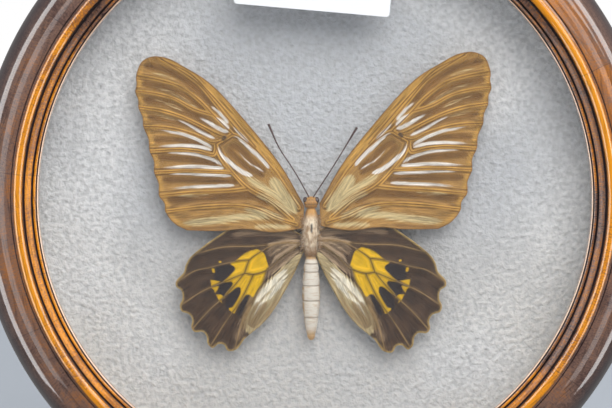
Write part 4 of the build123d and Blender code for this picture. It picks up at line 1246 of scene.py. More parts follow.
HINDWING_SILVER = [
    [
        (3.7, -8.3), (6.7, -10.3), (10.5, -13.8), (14.3, -17.1), (17.3, -19.8), (19.8, -22.6),
        (21.7, -26.4), (23.2, -30.2), (25.0, -33.5), (25.8, -35.7), (24.7, -38.4), (23.4, -39.9),
        (20.4, -37.6), (17.1, -34.4), (13.8, -29.7), (11.1, -25.4), (8.4, -20.4), (6.2, -15.5),
        (4.4, -11.7),
    ]
]
HINDWING_FOLDS = [
    (0.22, [(5.1, -11.1), (10.5, -17.1), (14.9, -22.0), (19.3, -26.9), (22.4, -33.0)]),
    (0.22, [(4.6, -12.2), (8.4, -18.2), (12.2, -23.6), (15.4, -28.5)]),
    (0.40, [(3.6, -9.2), (6.0, -14.9), (8.4, -20.1), (11.1, -25.1),
            (13.9, -29.5), (17.2, -34.1), (20.5, -37.3)]),
    (0.30, [(14.9, -30.1), (18.2, -33.9), (20.9, -36.6)]),
]
HINDWING_SHINE = [
    (1.5, [(8.0, -13.2), (9.7, -15.2), (12.9, -18.8), (16.2, -21.8),
           (19.0, -24.8), (21.0, -27.8), (22.3, -30.4)]),
    (1.0, [(8.5, -15.6), (11.9, -20.4), (15.0, -24.4), (17.6, -27.8)]),
    (0.6, [(14.9, -22.9), (17.6, -26.4), (19.8, -29.3), (21.4, -31.8), (22.7, -34.5)]),
]
HINDWING_SMEARS = [
    (1.3, [(21.2, -22.4), (23.3, -27.5), (24.4, -30.8), (25.3, -34.0), (25.6, -38.0)]),
    (1.5, [(16.4, -26.6), (19.4, -30.9), (21.2, -33.7), (22.8, -37.2)]),
    (0.9, [(20.0, -26.6), (21.7, -30.2), (23.1, -32.9), (23.9, -36.4)]),
    (0.7, [(11.4, -23.8), (15.4, -29.6), (18.6, -33.4), (21.6, -36.8)]),
]
HINDWING_BROWN = [
    (2.2, [(3.4, -4.6), (7.2, -5.0), (11.4, -6.4), (15.0, -8.6), (15.8, -10.6)]),
    (1.5, [(3.8, -6.4), (8.0, -9.6), (12.5, -13.0), (15.8, -15.6), (18.2, -18.8)]),
    (1.5, [(26.4, -32.8), (26.2, -35.7), (27.5, -39.5), (29.0, -42.4)]),
    (1.2, [(24.9, -31.8), (25.5, -35.7), (26.0, -39.4)]),
    (1.6, [(4.0, -2.4), (12.0, -0.6), (22.0, -0.2), (31.0, -2.2)]),
]
HINDWING_TAN = [
    (0.55, [(3.4, -3.9), (8.4, -3.6), (11.6, -4.2), (14.9, -5.1), (17.6, -6.2)]),
    (0.60, [(3.8, -4.9), (7.8, -6.7), (11.1, -8.9), (13.8, -11.1), (15.4, -12.9)]),
    (0.45, [(5.1, -4.5), (9.4, -5.6), (12.7, -7.3), (14.9, -9.2)]),
    (0.45, [(4.2, -7.4), (8.6, -11.2), (12.2, -14.2), (15.6, -17.4)]),
]


class WingPattern:
    """Outline and veins of one pair of wings, worked out once for both sides. Everything in it is in mm."""

    def __init__(self, margins, root):
        self.outline = np.vstack([smooth_line(margin)[:-1] for margin in margins])
        self.root = np.array(root)

    def sheet(self, cell):
        """Flat sheet of small square cells cut to the outline; X is out from the body and Z is up, in mm."""
        low, high = self.outline.min(0) - cell, self.outline.max(0) + cell
        columns, rows = (ceil(extent / cell) for extent in high - low)
        middle = (low + high) / 2
        bm = bmesh.new()
        bmesh.ops.create_grid(bm, x_segments=columns, y_segments=rows, size=0.5)
        spread = Matrix.Diagonal((columns * cell, rows * cell, 1, 1))
        bmesh.ops.transform(bm, matrix=Matrix.Translation((*middle, 0)) @ spread, verts=bm.verts)
        centres = np.array([face.calc_center_median().xy for face in bm.faces])
        kept = inside(self.outline, centres)
        spare = [face for face, keep in zip(bm.faces, kept) if not keep]
        bmesh.ops.delete(bm, geom=spare, context="FACES")
        # The stepped rim is drawn onto the outline.
        closed = np.vstack([self.outline, self.outline[:1]])
        for vert in (vert for vert in bm.verts if vert.is_boundary):
            here = np.array(vert.co.xy)
            rays = np.diff(closed, axis=0)
            shares = np.clip(((here - closed[:-1]) * rays).sum(1) / (rays * rays).sum(1).clip(1e-9), 0, 1)
            spots = closed[:-1] + shares[:, None] * rays
            vert.co.xy = spots[np.hypot(*(spots - here).T).argmin()]
        bmesh.ops.rotate(bm, matrix=Matrix.Rotation(pi / 2, 3, "X"), verts=bm.verts)
        mesh = bpy.data.meshes.new("wing")
        bm.to_mesh(mesh)
        bm.free()
        return mesh

    def edge_distance(self, places):
        return distance_to(np.vstack([self.outline, self.outline[:1]]), places)[0]

    def vein_distance(self, veins, places):
        """Distance to the nearest vein; a vein that ends by the margin runs on past it."""
        gaps = []
        for vein in veins:
            line = smooth_line(vein)
            if self.edge_distance(line[-1:])[0] < 3.5:
                heading = line[-1] - line[-4]
                line = np.vstack([line, line[-1] + 4.0 * heading / np.linalg.norm(heading)])
            gaps.append(distance_to(line, places)[0])
        return np.min(gaps, axis=0)

    def flow(self, places, vein_gap):
        """Place of each scale along the wing from its root and across from the nearest vein, in metres."""
        rays = places - self.root
        across = 1.2 * vein_gap + np.arctan2(rays[:, 1], rays[:, 0]) * 5
        return np.stack([np.hypot(*rays.T), across, np.zeros(len(across))], axis=1) * MM


def paint_wing(mesh, pattern, veins, masks, s):
    """Stores the painted masks, raises the veins and sinks the membrane between them. The mesh is in mm."""
    places = places_of(mesh)
    flat = places[:, (0, 2)]
    vein_gap = pattern.vein_distance(veins, flat)
    rim_gap = pattern.edge_distance(flat)
    width = s.vein_width / MM
    for name, values in masks(flat, rim_gap).items():
        store(mesh, name, values)
    store(mesh, "vein_gap", vein_gap)
    store(mesh, "flow", pattern.flow(flat, vein_gap))
    pleat = 1 - np.exp(-((vein_gap / 1.7) ** 2))
    calm = eased(rim_gap / 2.5)
    ripples, fine = (
        np.array([noise.noise(Vector((x / size, z / size, level))) for x, z in flat])
        for size, level in ((5.0, 3.0), (1.1, 9.0))
    )
    ridge = np.exp(-((vein_gap / width) ** 2)) * s.vein_height / MM * (0.35 + 0.65 * calm)
    # The veins stand forward of the pleats between them, towards the glass.
    places[:, 1] = (pleat * calm - 1) * s.pleat_depth / MM - ridge + 0.10 * ripples + 0.03 * fine
    mesh.vertices.foreach_set("co", places.astype(np.float32).ravel())


def forewing_masks(places, rim_gap):
    """How strongly each shade of the forewing is painted at places, from 0 to 1."""
    front = distance_to(smooth_line(FOREWING_FRONT), places)[0]
    outer = distance_to(smooth_line(FOREWING_MARGINS[0][len(FOREWING_FRONT):]), places)[0]
    bands = 0.5 * brushed(places, FOREWING_BANDS, 1.4, (0.4, 0.4))
    return {
        "pale": brushed(places, FOREWING_WHITE, 0.95, (0.5, 0.12)),
        "cream": np.maximum(brushed(places, FOREWING_CREAM, 2.4), bands),
        "dark": brushed(places, FOREWING_DARK, 2.2, (0.1, 0.1)),
        "spot": brushed(places, FOREWING_SPOT, 0.7),
        "gold": brushed(places, FOREWING_GOLD, 2.2, (0.05, 0.05)),
        "hem": eased((0.5 - rim_gap) / 0.4),
        "front_edge": eased((1.0 - front) / 1.0),
        # The outer margin is finely wrinkled, but not at the hind corner.
        "wrinkled": eased((9.0 - outer) / 8.0) * eased((places[:, 1] - 14.0) / 12.0),
    }


def hindwing_masks(places, rim_gap):
    """How strongly each shade of the hindwing is painted at places, from 0 to 1."""
    spikes = filled(places, HINDWING_SPIKES, 0.3, rounded=False)
    marks = np.maximum(spikes, brushed(places, HINDWING_YELLOW_DOTS, 0.3))
    outer = distance_to(smooth_line(HINDWING_MARGINS[1]), places)[0]
    return {
        "yellow": np.maximum(filled(places, HINDWING_YELLOW, 0.3), marks),
        "black": filled(places, HINDWING_BLACK, 0.5),
        "silver": filled(places, HINDWING_SILVER, 1.5),
        "shine": brushed(places, HINDWING_SHINE, 1.6, (0.35, 0.45)),
        "fold": brushed(places, HINDWING_FOLDS, 0.8),
        "smear": brushed(places, HINDWING_SMEARS, 1.8, (0.3, 0.05)),
        "brown": brushed(places, HINDWING_BROWN, 2.2),
        "tan": brushed(places, HINDWING_TAN, 0.9),
        "gold": eased((0.95 - outer) / 0.8),
        "hem": eased((0.45 - rim_gap) / 0.4),
    }


def streaked(w, flow, values, wrinkled=0.0):
    """Light and dark streaks along the wing, with fine wrinkles across it where it is wrinkled."""
    fine = w.noise(w.stretched(flow, (0.10, 1.0, 1.0)), 0.6, 3.0, 0.65)
    broad = w.noise(w.stretched(flow, (0.10, 1.0, 1.0)), 1.9, 2.0, 0.5)
    across = w.noise(w.stretched(flow, (1.0, 0.45, 1.0)), 0.8, 3.0, 0.7)
    wrinkles = w.times(w.centred(across), wrinkled)
    total = w.times_add(w.centred(broad), values[1], w.times_add(w.centred(fine), values[0], 1.0))
    return fine, w.times_add(wrinkles, values[2], total), wrinkles


def feathered(w, name, ruffle, low, high):
    """A painted mask whose soft edge is feathered along the scales, while its middle stays whole."""
    mask = w.attribute(name)
    edge = w.times_add(w.times(mask, w.less(1.0, mask)), 3.0, 0.1)
    return w.between(w.times_add(ruffle, edge, mask), low, high)


def vein_lines(w):
    """A vein's middle, its scaled sides and the fine dark line that borders them."""
    gap = w.attribute("vein_gap")
    border = w.times(w.between(gap, 0.6, 0.95), w.below(gap, 1.1, 1.8))
    return w.below(gap, 0.12, 0.32), w.below(gap, 0.45, 0.95), border


def finish_wing(w, tint, value, scales, smooth, rough, under):
    """Colours the shader by the streaks and the rows of scales, over the relief that lies under them."""
    value = w.times_add(w.centred(scales), 0.5, value)
    grey = w.add("CombineXYZ", None, {"X": value, "Y": value, "Z": value}).outputs[0]
    w.give(Base_Color=w.mix(1.0, tint, grey, "MULTIPLY"))
    w.give(Roughness=w.between(scales, 0.3, 0.7, rough, smooth))
    w.give(Normal=w.bump(scales, 0.05, 0.5, under))


def forewing_scales(s):
    """Brown forewing: dark streaks between golden veins, white streaks beside them, cream near the body."""
    material, w = new_finish("Forewing Scales", 0.6, Specular_IOR_Level=0.12)
    flow = w.attribute("flow", "Vector")
    scales = w.effect("Wing Scales", Place=flow)
    fine, value, wrinkles = streaked(w, flow, (1.7, 1.3, 1.0), w.attribute("wrinkled"))
    middle, sides, border = vein_lines(w)
    clouds = w.noise(w.place(), 6.0, 3.0, 0.55)
    broken = w.noise(w.stretched(flow, (0.3, 1.0, 1.0)), 2.0, 2.0, 0.5)
    ruffle = w.centred(fine)
    strong = w.times(ruffle, 3.0)
    tint = w.mix(w.between(clouds, 0.3, 0.7), toned(s.wing_brown, 0.82), s.wing_brown)
    tint = w.over(tint, s.wing_dark, feathered(w, "dark", strong, 0.1, 1.0), 0.80)
    tint = w.over(tint, s.wing_gold, w.larger(w.attribute("gold"), sides), 0.62)
    tint = w.mix(w.times(border, w.between(broken, 0.38, 0.62, 0.1, 0.8)), tint, s.wing_dark)
    tint = w.over(tint, s.wing_cream, feathered(w, "cream", strong, 0.1, 1.1), 0.70)
    tint = w.over(tint, s.wing_pale, feathered(w, "pale", w.times(ruffle, 1.6), 0.15, 1.0), 0.86)
    tint = w.over(tint, s.wing_vein, middle, 0.85)
    lines = [("hem", s.wing_vein, 0.6), ("front_edge", s.wing_dark, 0.5), ("spot", (0.05, 0.03, 0.022), 0.85)]
    for name, shade, strength in lines:
        tint = w.over(tint, shade, w.attribute(name), strength)
    creases = w.bump(wrinkles, 0.9, 0.7, w.bump(fine, 0.3, 0.6))
    finish_wing(w, tint, value, scales, 0.5, 0.7, creases)
    return material


def hindwing_scales(s):
    """Dark hindwing: yellow patch crossed by dark veins, tan veins outside it, silver streak by the body."""
    material, w = new_finish("Hindwing Scales", 0.65, Specular_IOR_Level=0.1)
    place = w.place()
    flow = w.attribute("flow", "Vector")
    scales = w.effect("Wing Scales", Place=flow)
    fine, value, _ = streaked(w, flow, (2.2, 1.3, 0.0))
    middle, sides, _ = vein_lines(w)
    ruffle = w.times(w.centred(fine), 3.0)
    yellow = w.attribute("yellow")
    clouds = w.noise(place, 5.0, 3.0, 0.6)
    tint = w.mix(w.between(clouds, 0.3, 0.75), s.hind_dark, toned(s.hind_dark, 1.6))
    tint = w.over(tint, s.hind_brown, feathered(w, "brown", ruffle, 0.05, 1.1), 0.85)
    tint = w.over(tint, s.hind_tan, feathered(w, "tan", ruffle, 0.1, 1.0), 0.7)
    tint = w.over(tint, s.hind_black, w.attribute("black"), 0.9)
    # Bare specks where scales have rubbed off the dark ground.
    specks = w.between(w.effect("Fine Speckle", Place=place, Size=0.7), 0.65, 0.72, 0.0, 0.6)
    tint = w.mix(specks, tint, s.hind_vein)
    # The silver streak by the body: a cream ground, its shine, brown smears and folds.
    streak = [
        ("silver", 0.2, 0.9, s.hind_cream, 0.95),
        ("shine", 0.2, 0.9, s.hind_silver, 0.90),
        ("smear", 0.2, 1.2, s.hind_fold, 0.95),
        ("fold", 0.1, 0.9, s.hind_fold, 0.70),
    ]
    for name, low, high, shade, strength in streak:
        tint = w.over(tint, shade, feathered(w, name, ruffle, low, high), strength)
    patch = w.mix(w.between(fine, 0.35, 0.7, 0.0, 0.8), s.hind_yellow, toned(s.hind_yellow, 0.68))
    tint = w.mix(yellow, tint, patch)
    for name, strength in (("gold", 0.75), ("hem", 0.7)):
        tint = w.over(tint, s.hind_gold, w.attribute(name), strength)
    vein_tint = w.mix(yellow, s.hind_vein, s.hind_dark)
    tint = w.mix(w.times(sides, w.times_add(yellow, 0.25, 0.12)), tint, vein_tint)
    tint = w.over(tint, vein_tint, middle, 0.78)
    finish_wing(w, tint, value, scales, 0.55, 0.8, w.bump(fine, 0.25, 0.6))
    return material


class AddWings(bpy.types.Operator):
    """Add the four wings: thin pleated sheets with raised veins."""

    bl_idname = "case.add_wings"
    bl_label = "Wings"

    def execute(self, context):
        s = context.scene.case_specimen
        fore = WingPattern(FOREWING_MARGINS, (-2.0, 2.0))
        hind = WingPattern(HINDWING_MARGINS, (-1.0, -2.0))
        # The right wings are a little larger than the left ones, and set a little higher.
        right_fore = Matrix.Translation((0.56, 0, 0.75)) @ Matrix.Diagonal((1.0127, 1, 1.0127, 1))
        right_hind = Matrix.Translation((-1.9, 0, 1.04)) @ Matrix.Diagonal((1.032, 1, 1.032, 1))
        fore_finish, hind_finish = forewing_scales(s), hindwing_scales(s)
        pairs = [
            ("forewing", fore, FOREWING_VEINS, forewing_masks, FOREWING_BACK_Y, fore_finish, right_fore),
            ("hindwing", hind, HINDWING_VEINS, hindwing_masks, HINDWING_BACK_Y, hind_finish, right_hind),
        ]
        for name, pattern, veins, masks, back_y, material, right_growth in pairs:
            sheet = pattern.sheet(s.cell / MM)
            paint_wing(sheet, pattern, veins, masks, s)
            for side, sign in (("left", -1), ("right", 1)):
                mesh = sheet.copy()
                mesh.name = f"{name}_{side}_sheet"
                if sign < 0:
                    mesh.flip_normals()
                else:
                    mesh.transform(right_growth)
                spread = Matrix.Diagonal((sign * MM, MM, MM, 1))
                mesh.transform(Matrix.Translation((BODY_X, back_y - s.membrane, BODY_Z)) @ spread)
                node = f"{name}_{side}"
                piece = placed(mesh, f"{node}_sheet", "case", material, [node], 75)
                skin = piece.modifiers.new("Membrane", "SOLIDIFY")
                skin.thickness = s.membrane
                skin.offset = -1.0
            bpy.data.meshes.remove(sheet)
        return {"FINISHED"}


# ---------------------------------------------------------------- body of the butterfly
# Radii and heights above the middle of the thorax, in mm.
THORAX_PROFILE = [
    (0.0, 8.5), (1.4, 8.3), (2.2, 6.3), (2.9, 3.4), (3.2, 0.2), (3.15, -2.6), (2.7, -5.8), (2.0, -8.6),
    (0.0, -9.9),
]
ABDOMEN_JOINTS = [
    (1.6, -9.8), (2.6, -12.6), (2.8, -15.7), (3.2, -20.9), (3.3, -26.6), (2.7, -33.0), (1.55, -39.7),
]
# The groove down the front of the thorax, sunk and painted near black as its shade: its middle, and half its
# width and height, in mm.
CLEFT_X, CLEFT_Z = 0.25, 0.9
CLEFT_HALF_WIDTH, CLEFT_HALF_HEIGHT = 0.62, 2.1
# The head is broader than it is deep, and the eyes sit at its sides.
HEAD_SPREAD = 1.16
HEAD_HEIGHT = 0.88
HEAD_HAIRS = 900
EYE_SPREAD = 0.12 * MM
# How far the antennae reach out and up, in mm, on the left and on the right.
ANTENNA_LINES = {
    -1: [(0.8, 12.6), (4.6, 19.8), (9.0, 26.6), (12.2, 31.2), (14.9, 37.4), (16.1, 40.3)],
    1: [(0.8, 12.6), (4.3, 18.0), (8.6, 24.6), (12.4, 30.8), (15.6, 36.2), (17.3, 39.0)],
}
ANTENNA_RADII = [0.26, 0.23, 0.22, 0.24, 0.36, 0.50]
# Out, back and up from where a leg leaves the thorax, then the leg's radius, in mm.
LEG_LINE = [
    (2.2, 0.3, 0.1, 0.32), (3.4, 1.6, -0.3, 0.30), (4.5, 2.7, -0.9, 0.24), (5.8, 3.3, -2.0, 0.26),
    (6.5, 3.8, -3.1, 0.20), (5.6, 4.2, -4.9, 0.16), (4.5, 4.55, -6.7, 0.11),
]
LEG_LEVELS = (4.4, 0.2, -4.4)


def turned_body(profile, steps=48):
    """Turns a profile of (radius, height) in mm about the axis of the body."""
    bm = bmesh.new()
    places = [from_body(radius, 0, height) for radius, height in profile]
    turned(bm, places, (BODY_X, BODY_Y, 0), (0, 0, 1), steps)
    return bm


def hair_finish(name, base, dark, warm, warm_from, warm_to):
    """Fine hair: each strand has its own tone, and the body warms between two heights in mm."""
    material, w = new_finish(name, 0.6, Sheen_Weight=0.25, Sheen_Roughness=0.35)
    place = w.place()
    height = w.axes(place)["Z"]
    clumps = w.noise(w.stretched(place, (1.0, 1.0, 0.25)), 0.7, 3.0, 0.65)
    tone = w.times_add(w.attribute("tone"), 0.6, w.times(clumps, 0.4))
    tint = w.mix(w.between(tone, 0.20, 0.60), dark, base)
    tufts = w.noise(w.stretched(place, (1.0, 1.0, 0.5)), 1.7, 2.0, 0.5)
    tint = w.mix(w.between(tufts, 0.52, 0.66, 0.0, 0.75), tint, dark)
    # The fur browns towards the waist.
    tint = w.mix(w.below(height, BODY_Z - 9.0 * MM, BODY_Z - 5.5 * MM, 0.85), tint, dark)
    warmed = w.between(height, BODY_Z + warm_from * MM, BODY_Z + warm_to * MM)
    tint = w.mix(warmed, tint, w.mix(w.between(tone, 0.1, 0.7), dark, warm))
    # Painted shade: the thorax's groove and the head's seams are darkened nearly to black.
    w.give(Base_Color=w.over(tint, (0.02, 0.014, 0.012), w.attribute("cleft"), 0.9))
    w.give(Normal=w.bump(clumps, 0.1, 0.6))
    return material


def grow_hair(bm, dice, spots, tone_layer):
    """Thin three-sided hairs, each rooted at a spot with its own direction, length and tone."""
    for root, heading, reach, tone in spots:
        aim = Vector((0, 0, 1)).rotation_difference(heading).to_matrix().to_4x4()
        stand = Matrix.Translation(root + heading * reach / 2) @ aim
        hair = bmesh.ops.create_cone(
            bm, cap_ends=True, segments=3, radius1=0.085 * MM, radius2=0.012 * MM, depth=reach, matrix=stand
        )["verts"]
        bend = Vector((0, dice.uniform(-0.1, 0.1), -dice.uniform(0.0, 0.15))) * reach
        for vert in hair:
            vert[tone_layer] = tone
            if (vert.co - root).dot(heading) > reach / 2:
                vert.co += bend


class AddBody(bpy.types.Operator):
    """Add the butterfly's hairy thorax and head, its eyes and its ringed abdomen."""

    bl_idname = "case.add_body"
    bl_label = "Body"

    def execute(self, context):
        s = context.scene.case_specimen
        dice = random.Random(7)
        self.add_thorax(s, dice)
        self.add_head(s, dice)
        self.add_eyes(s)
        self.add_abdomen(s)
        return {"FINISHED"}

    def add_thorax(self, s, dice):
        bm = turned_body(smooth_line(THORAX_PROFILE, 0.4).clip((0, -10), (9, 9)))
        tone, cleft = bm.verts.layers.float.new("tone"), bm.verts.layers.float.new("cleft")
        for vert in bm.verts:
            offset = (vert.co - from_body(CLEFT_X, 0, CLEFT_Z)) / MM
            vert[tone] = 0.5 + 0.4 * noise.noise(vert.co * 900)
            across, up = offset.x / CLEFT_HALF_WIDTH, offset.z / CLEFT_HALF_HEIGHT
            deep = max(0.0, 1.0 - across * across - up * up) if offset.y < 0 else 0.0
            # The groove is painted dark as its shade.
            vert[cleft] = min(1.0, 2.0 * deep)
            vert.co += vert.normal * (0.12 * MM * noise.noise(vert.co * 1100) - 0.35 * MM * deep)
        spots = []
        radii, heights = zip(*THORAX_PROFILE[::-1])
        for _ in range(s.hair_count):
            height, angle = dice.uniform(-9.2, 8.2), dice.uniform(0, 2 * pi)
            out = Vector((cos(angle), sin(angle), 0))
            root = from_body(0, 0, height) + out * float(np.interp(height, heights, radii)) * MM * 0.97
            off_cleft = abs(root.x - BODY_X - CLEFT_X * MM)
            if out.y < 0 and off_cleft < CLEFT_HALF_WIDTH * MM and -1.6 < height < 4.2:
                continue
            heading = out * dice.uniform(0.15, 0.6) + Vector((dice.uniform(-0.25, 0.25), 0, -1))
            spots.append((root, heading.normalized(), s.hair_length * dice.uniform(0.45, 1.0), dice.random()))
        # Brown tufts where the wings leave the body.
        for _ in range(s.hair_count // 4):
            side = dice.choice((-1, 1))
            height = dice.choice((dice.uniform(0.5, 6.0), dice.uniform(-6.5, -1.5)))
            root = Vector((BODY_X + side * 2.6 * MM, dice.uniform(-1.2, 0.6) * MM, BODY_Z + height * MM))
            out, back = side * dice.uniform(0.5, 1.0), dice.uniform(-0.4, 0.1)
            heading = Vector((out, back, dice.uniform(-0.8, 0.3)))
            reach = s.hair_length * dice.uniform(0.5, 1.1)
            spots.append((root, heading.normalized(), reach, dice.uniform(-0.3, 0.6)))
        grow_hair(bm, dice, spots, tone)
        finish = hair_finish("Thorax Hair", s.hair_cream, s.hair_tan, s.hair_orange, 3.5, 7.0)
        finished(bm, "hairy_thorax", "case", finish, ["thorax"], 180)

    def add_head(self, s, dice):
        low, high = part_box("head")
        radius = (high.x - low.x) / 2
        centre = Vector((BODY_X, BODY_Y, high.z - radius))
        bm = bmesh.new()
        bmesh.ops.create_icosphere(bm, subdivisions=4, radius=radius * 0.9, matrix=Matrix.Translation(centre))
        tone, cleft = bm.verts.layers.float.new("tone"), bm.verts.layers.float.new("cleft")
        for vert in bm.verts:
            vert[tone] = 0.4 + 0.4 * noise.noise(vert.co * 1200)
            vert.co.z = centre.z + (vert.co.z - centre.z) * HEAD_HEIGHT
            vert.co.x = centre.x + (vert.co.x - centre.x) * HEAD_SPREAD
            # Painted shade of furrows: darker seams across the brow and above the collar.
            height = (vert.co.z - centre.z) / MM
            seam = max(1.0 - abs(height - 0.9) / 0.22, 1.0 - abs(height + 0.75) / 0.3)
            vert[cleft] = 0.8 * max(0.0, seam) if vert.co.y < BODY_Y else 0.0
        spots = []
        for _ in range(HEAD_HAIRS):
            out = Vector([dice.gauss(0, 1) for _ in range(3)]).normalized()
            # The eyes and the seams stay bare.
            if abs(out.x) > 0.80 or (out.y < 0 and min(abs(out.z - 0.38), abs(out.z + 0.3)) < 0.12):
                continue
            root = centre + Vector((out.x * HEAD_SPREAD, out.y, out.z * HEAD_HEIGHT)) * radius * 0.88
            heading = (out * 0.55 + Vector((dice.uniform(-0.3, 0.3), -0.15, -0.75))).normalized()
            banded = 0.15 < out.z < 0.42 or -0.45 < out.z < -0.15
            shade = dice.uniform(-0.5, 0.2) if banded else dice.uniform(0.3, 1.0)
            spots.append((root, heading, s.hair_length * dice.uniform(0.2, 0.4), shade))
        grow_hair(bm, dice, spots, tone)
        finish = hair_finish("Head Hair", s.hair_orange, s.hair_tan, s.hair_orange, 0.0, 5.0)
        finished(bm, "hairy_head", "case", finish, ["head"], 180)

    def add_eyes(self, s):
        low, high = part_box("eyes")
        radius = (high.z - low.z) / 2
        bm = bmesh.new()
        for x in (low.x + radius - EYE_SPREAD, high.x - radius + EYE_SPREAD):
            eye = bmesh.ops.create_icosphere(bm, subdivisions=4, radius=radius)["verts"]
            bmesh.ops.scale(bm, vec=(0.72, 0.95, 1.0), verts=eye)
            bmesh.ops.translate(bm, vec=(x, low.y + radius, low.z + radius), verts=eye)
        material, w = new_finish("Eye Chitin", 0.18, Coat_Weight=0.6, Coat_Roughness=0.08)
        place = w.place()
        clouds = w.noise(place, 0.9, 2.0, 0.5)
        w.give(Base_Color=w.mix(w.between(clouds, 0.35, 0.7), s.shell_dark, (0.05, 0.022, 0.015)))
        w.give(Normal=w.bump(w.cells(place, 0.11), 0.03, 0.5))
        finished(bm, "dark_eyes", "case", material, ["eyes"], 180)

    def add_abdomen(self, s):
        profile = [(0.0, -9.6), (1.5, -9.7)]
        for (top_r, top_h), (low_r, low_h) in zip(ABDOMEN_JOINTS, ABDOMEN_JOINTS[1:]):
            # Each ring swells and then tucks under the next one.
            bulge = ((top_r + low_r) / 2 + 0.16, (top_h + low_h) / 2)
            profile += arc_through((top_r + 0.05, top_h), bulge, (low_r - 0.02, low_h), 10)
            profile.append((low_r - 0.12, low_h - 0.12))
        tip_r, tip_h = ABDOMEN_JOINTS[-1]
        tip_length = tip_h - (ABDOMEN_LOW.z - BODY_Z) / MM
        angles = np.linspace(0.15, pi / 2, 10)[:-1]
        profile += [(tip_r * cos(angle), tip_h - tip_length * sin(angle)) for angle in angles]
        bm = turned_body([*profile, (0.0, tip_h - tip_length)], 56)
        for vert in bm.verts:
            vert.co += vert.normal * 0.05 * MM * noise.noise(vert.co * 1500)
        finished(bm, "ringed_abdomen", "case", self.abdomen_scales(s), ["abdomen"], 60)

    def abdomen_scales(self, s):
        """Cream scales with tan sides, tip and waist, and a fine brown line at each joint."""
        material, w = new_finish("Abdomen Scales", 0.6, Sheen_Weight=0.15, Sheen_Roughness=0.4)
        place = w.place()
        axes = w.axes(place)
        across = w.size_of(w.less(axes["X"], BODY_X + 0.5 * MM))
        side = w.between(w.times_add(w.less(axes["Y"], BODY_Y), 0.5, across), 1.3 * MM, 2.8 * MM)
        tip = w.below(axes["Z"], BODY_Z - 40.5 * MM, BODY_Z - 36.0 * MM)
        waist = w.between(axes["Z"], BODY_Z - 11.6 * MM, BODY_Z - 10.4 * MM)
        rows = w.noise(w.stretched(place, (0.12, 0.12, 1.0)), 0.35, 3.0, 0.65)
        scales = w.effect("Fine Speckle", Place=place, Size=0.4)
        patches = w.between(w.noise(place, 2.5, 3.0, 0.6), 0.35, 0.6)
        warm = w.plus(w.larger(tip, waist), w.times(side, patches), clamp=True)
        tint = w.mix(warm, s.abdomen_cream, s.abdomen_tan)
        tint = w.mix(w.between(rows, 0.5, 0.66, 0.0, 0.45), tint, s.abdomen_tan)
        seam = 0.0
        for _, height in ABDOMEN_JOINTS[1:-1]:
            from_joint = w.size_of(w.less(axes["Z"], BODY_Z + height * MM))
            seam = w.larger(w.below(from_joint, 0.1 * MM, 0.4 * MM), seam)
        w.give(Base_Color=w.over(tint, (0.25, 0.16, 0.09), seam, 0.6))
        w.give(Normal=w.bump(scales, 0.05, 0.5, w.bump(rows, 0.12, 0.7)))
        return material


def dark_chitin(s):
    """Horny limbs, finely ringed and reddish in places."""
    material, w = new_finish("Dark Chitin", 0.4)
    place = w.place()
    rings = w.noise(w.stretched(place, (0.3, 0.3, 1.0)), 0.4, 2.0, 0.5)
    patches = w.noise(place, 4.0, 2.0, 0.5)
    tint = w.mix(w.between(rings, 0.4, 0.65), s.shell_dark, toned(s.shell_dark, 1.6))
    w.give(Base_Color=w.mix(w.between(patches, 0.55, 0.75, 0.0, 0.6), tint, (0.16, 0.07, 0.035)))
    w.give(Roughness=w.between(rings, 0.3, 0.7, 0.3, 0.5), Normal=w.bump(rings, 0.04, 0.6))
    return material


class AddLimbs(bpy.types.Operator):
    """Add the clubbed antennae and the folded legs."""

    bl_idname = "case.add_limbs"
    bl_label = "Antennae and Legs"

    def execute(self, context):
        material = dark_chitin(context.scene.case_specimen)
        for side, sign in (("left", -1), ("right", 1)):
            node = f"antenna_{side}"
            low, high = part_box(node)
            back = ((low.y + high.y) / 2 - BODY_Y) / MM
            spots = [from_body(sign * out, back, up) for out, up in ANTENNA_LINES[sign]]
            mesh = wire(node, spots, [radius * MM for radius in ANTENNA_RADII], 12)
            placed(mesh, f"clubbed_{node}", "case", material, [node], 60)
        bm = bmesh.new()
        for sign in (-1, 1):
            for level in LEG_LEVELS:
                spots = [from_body(sign * out, back, level + up) for out, back, up, _ in LEG_LINE]
                limb = wire("leg", spots, [radius * MM for *_, radius in LEG_LINE], 10)
                bm.from_mesh(limb)
                bpy.data.meshes.remove(limb)
        finished(bm, "folded_legs", "case", material, ["legs"], 60)
        return {"FINISHED"}


# ---------------------------------------------------------------- stage
LAMP_DISTANCE = 1.5
# Where the floor begins and ends its fade into the backdrop, in metres from the case.
SWEEP_START, SWEEP_END = 0.65, 1.5


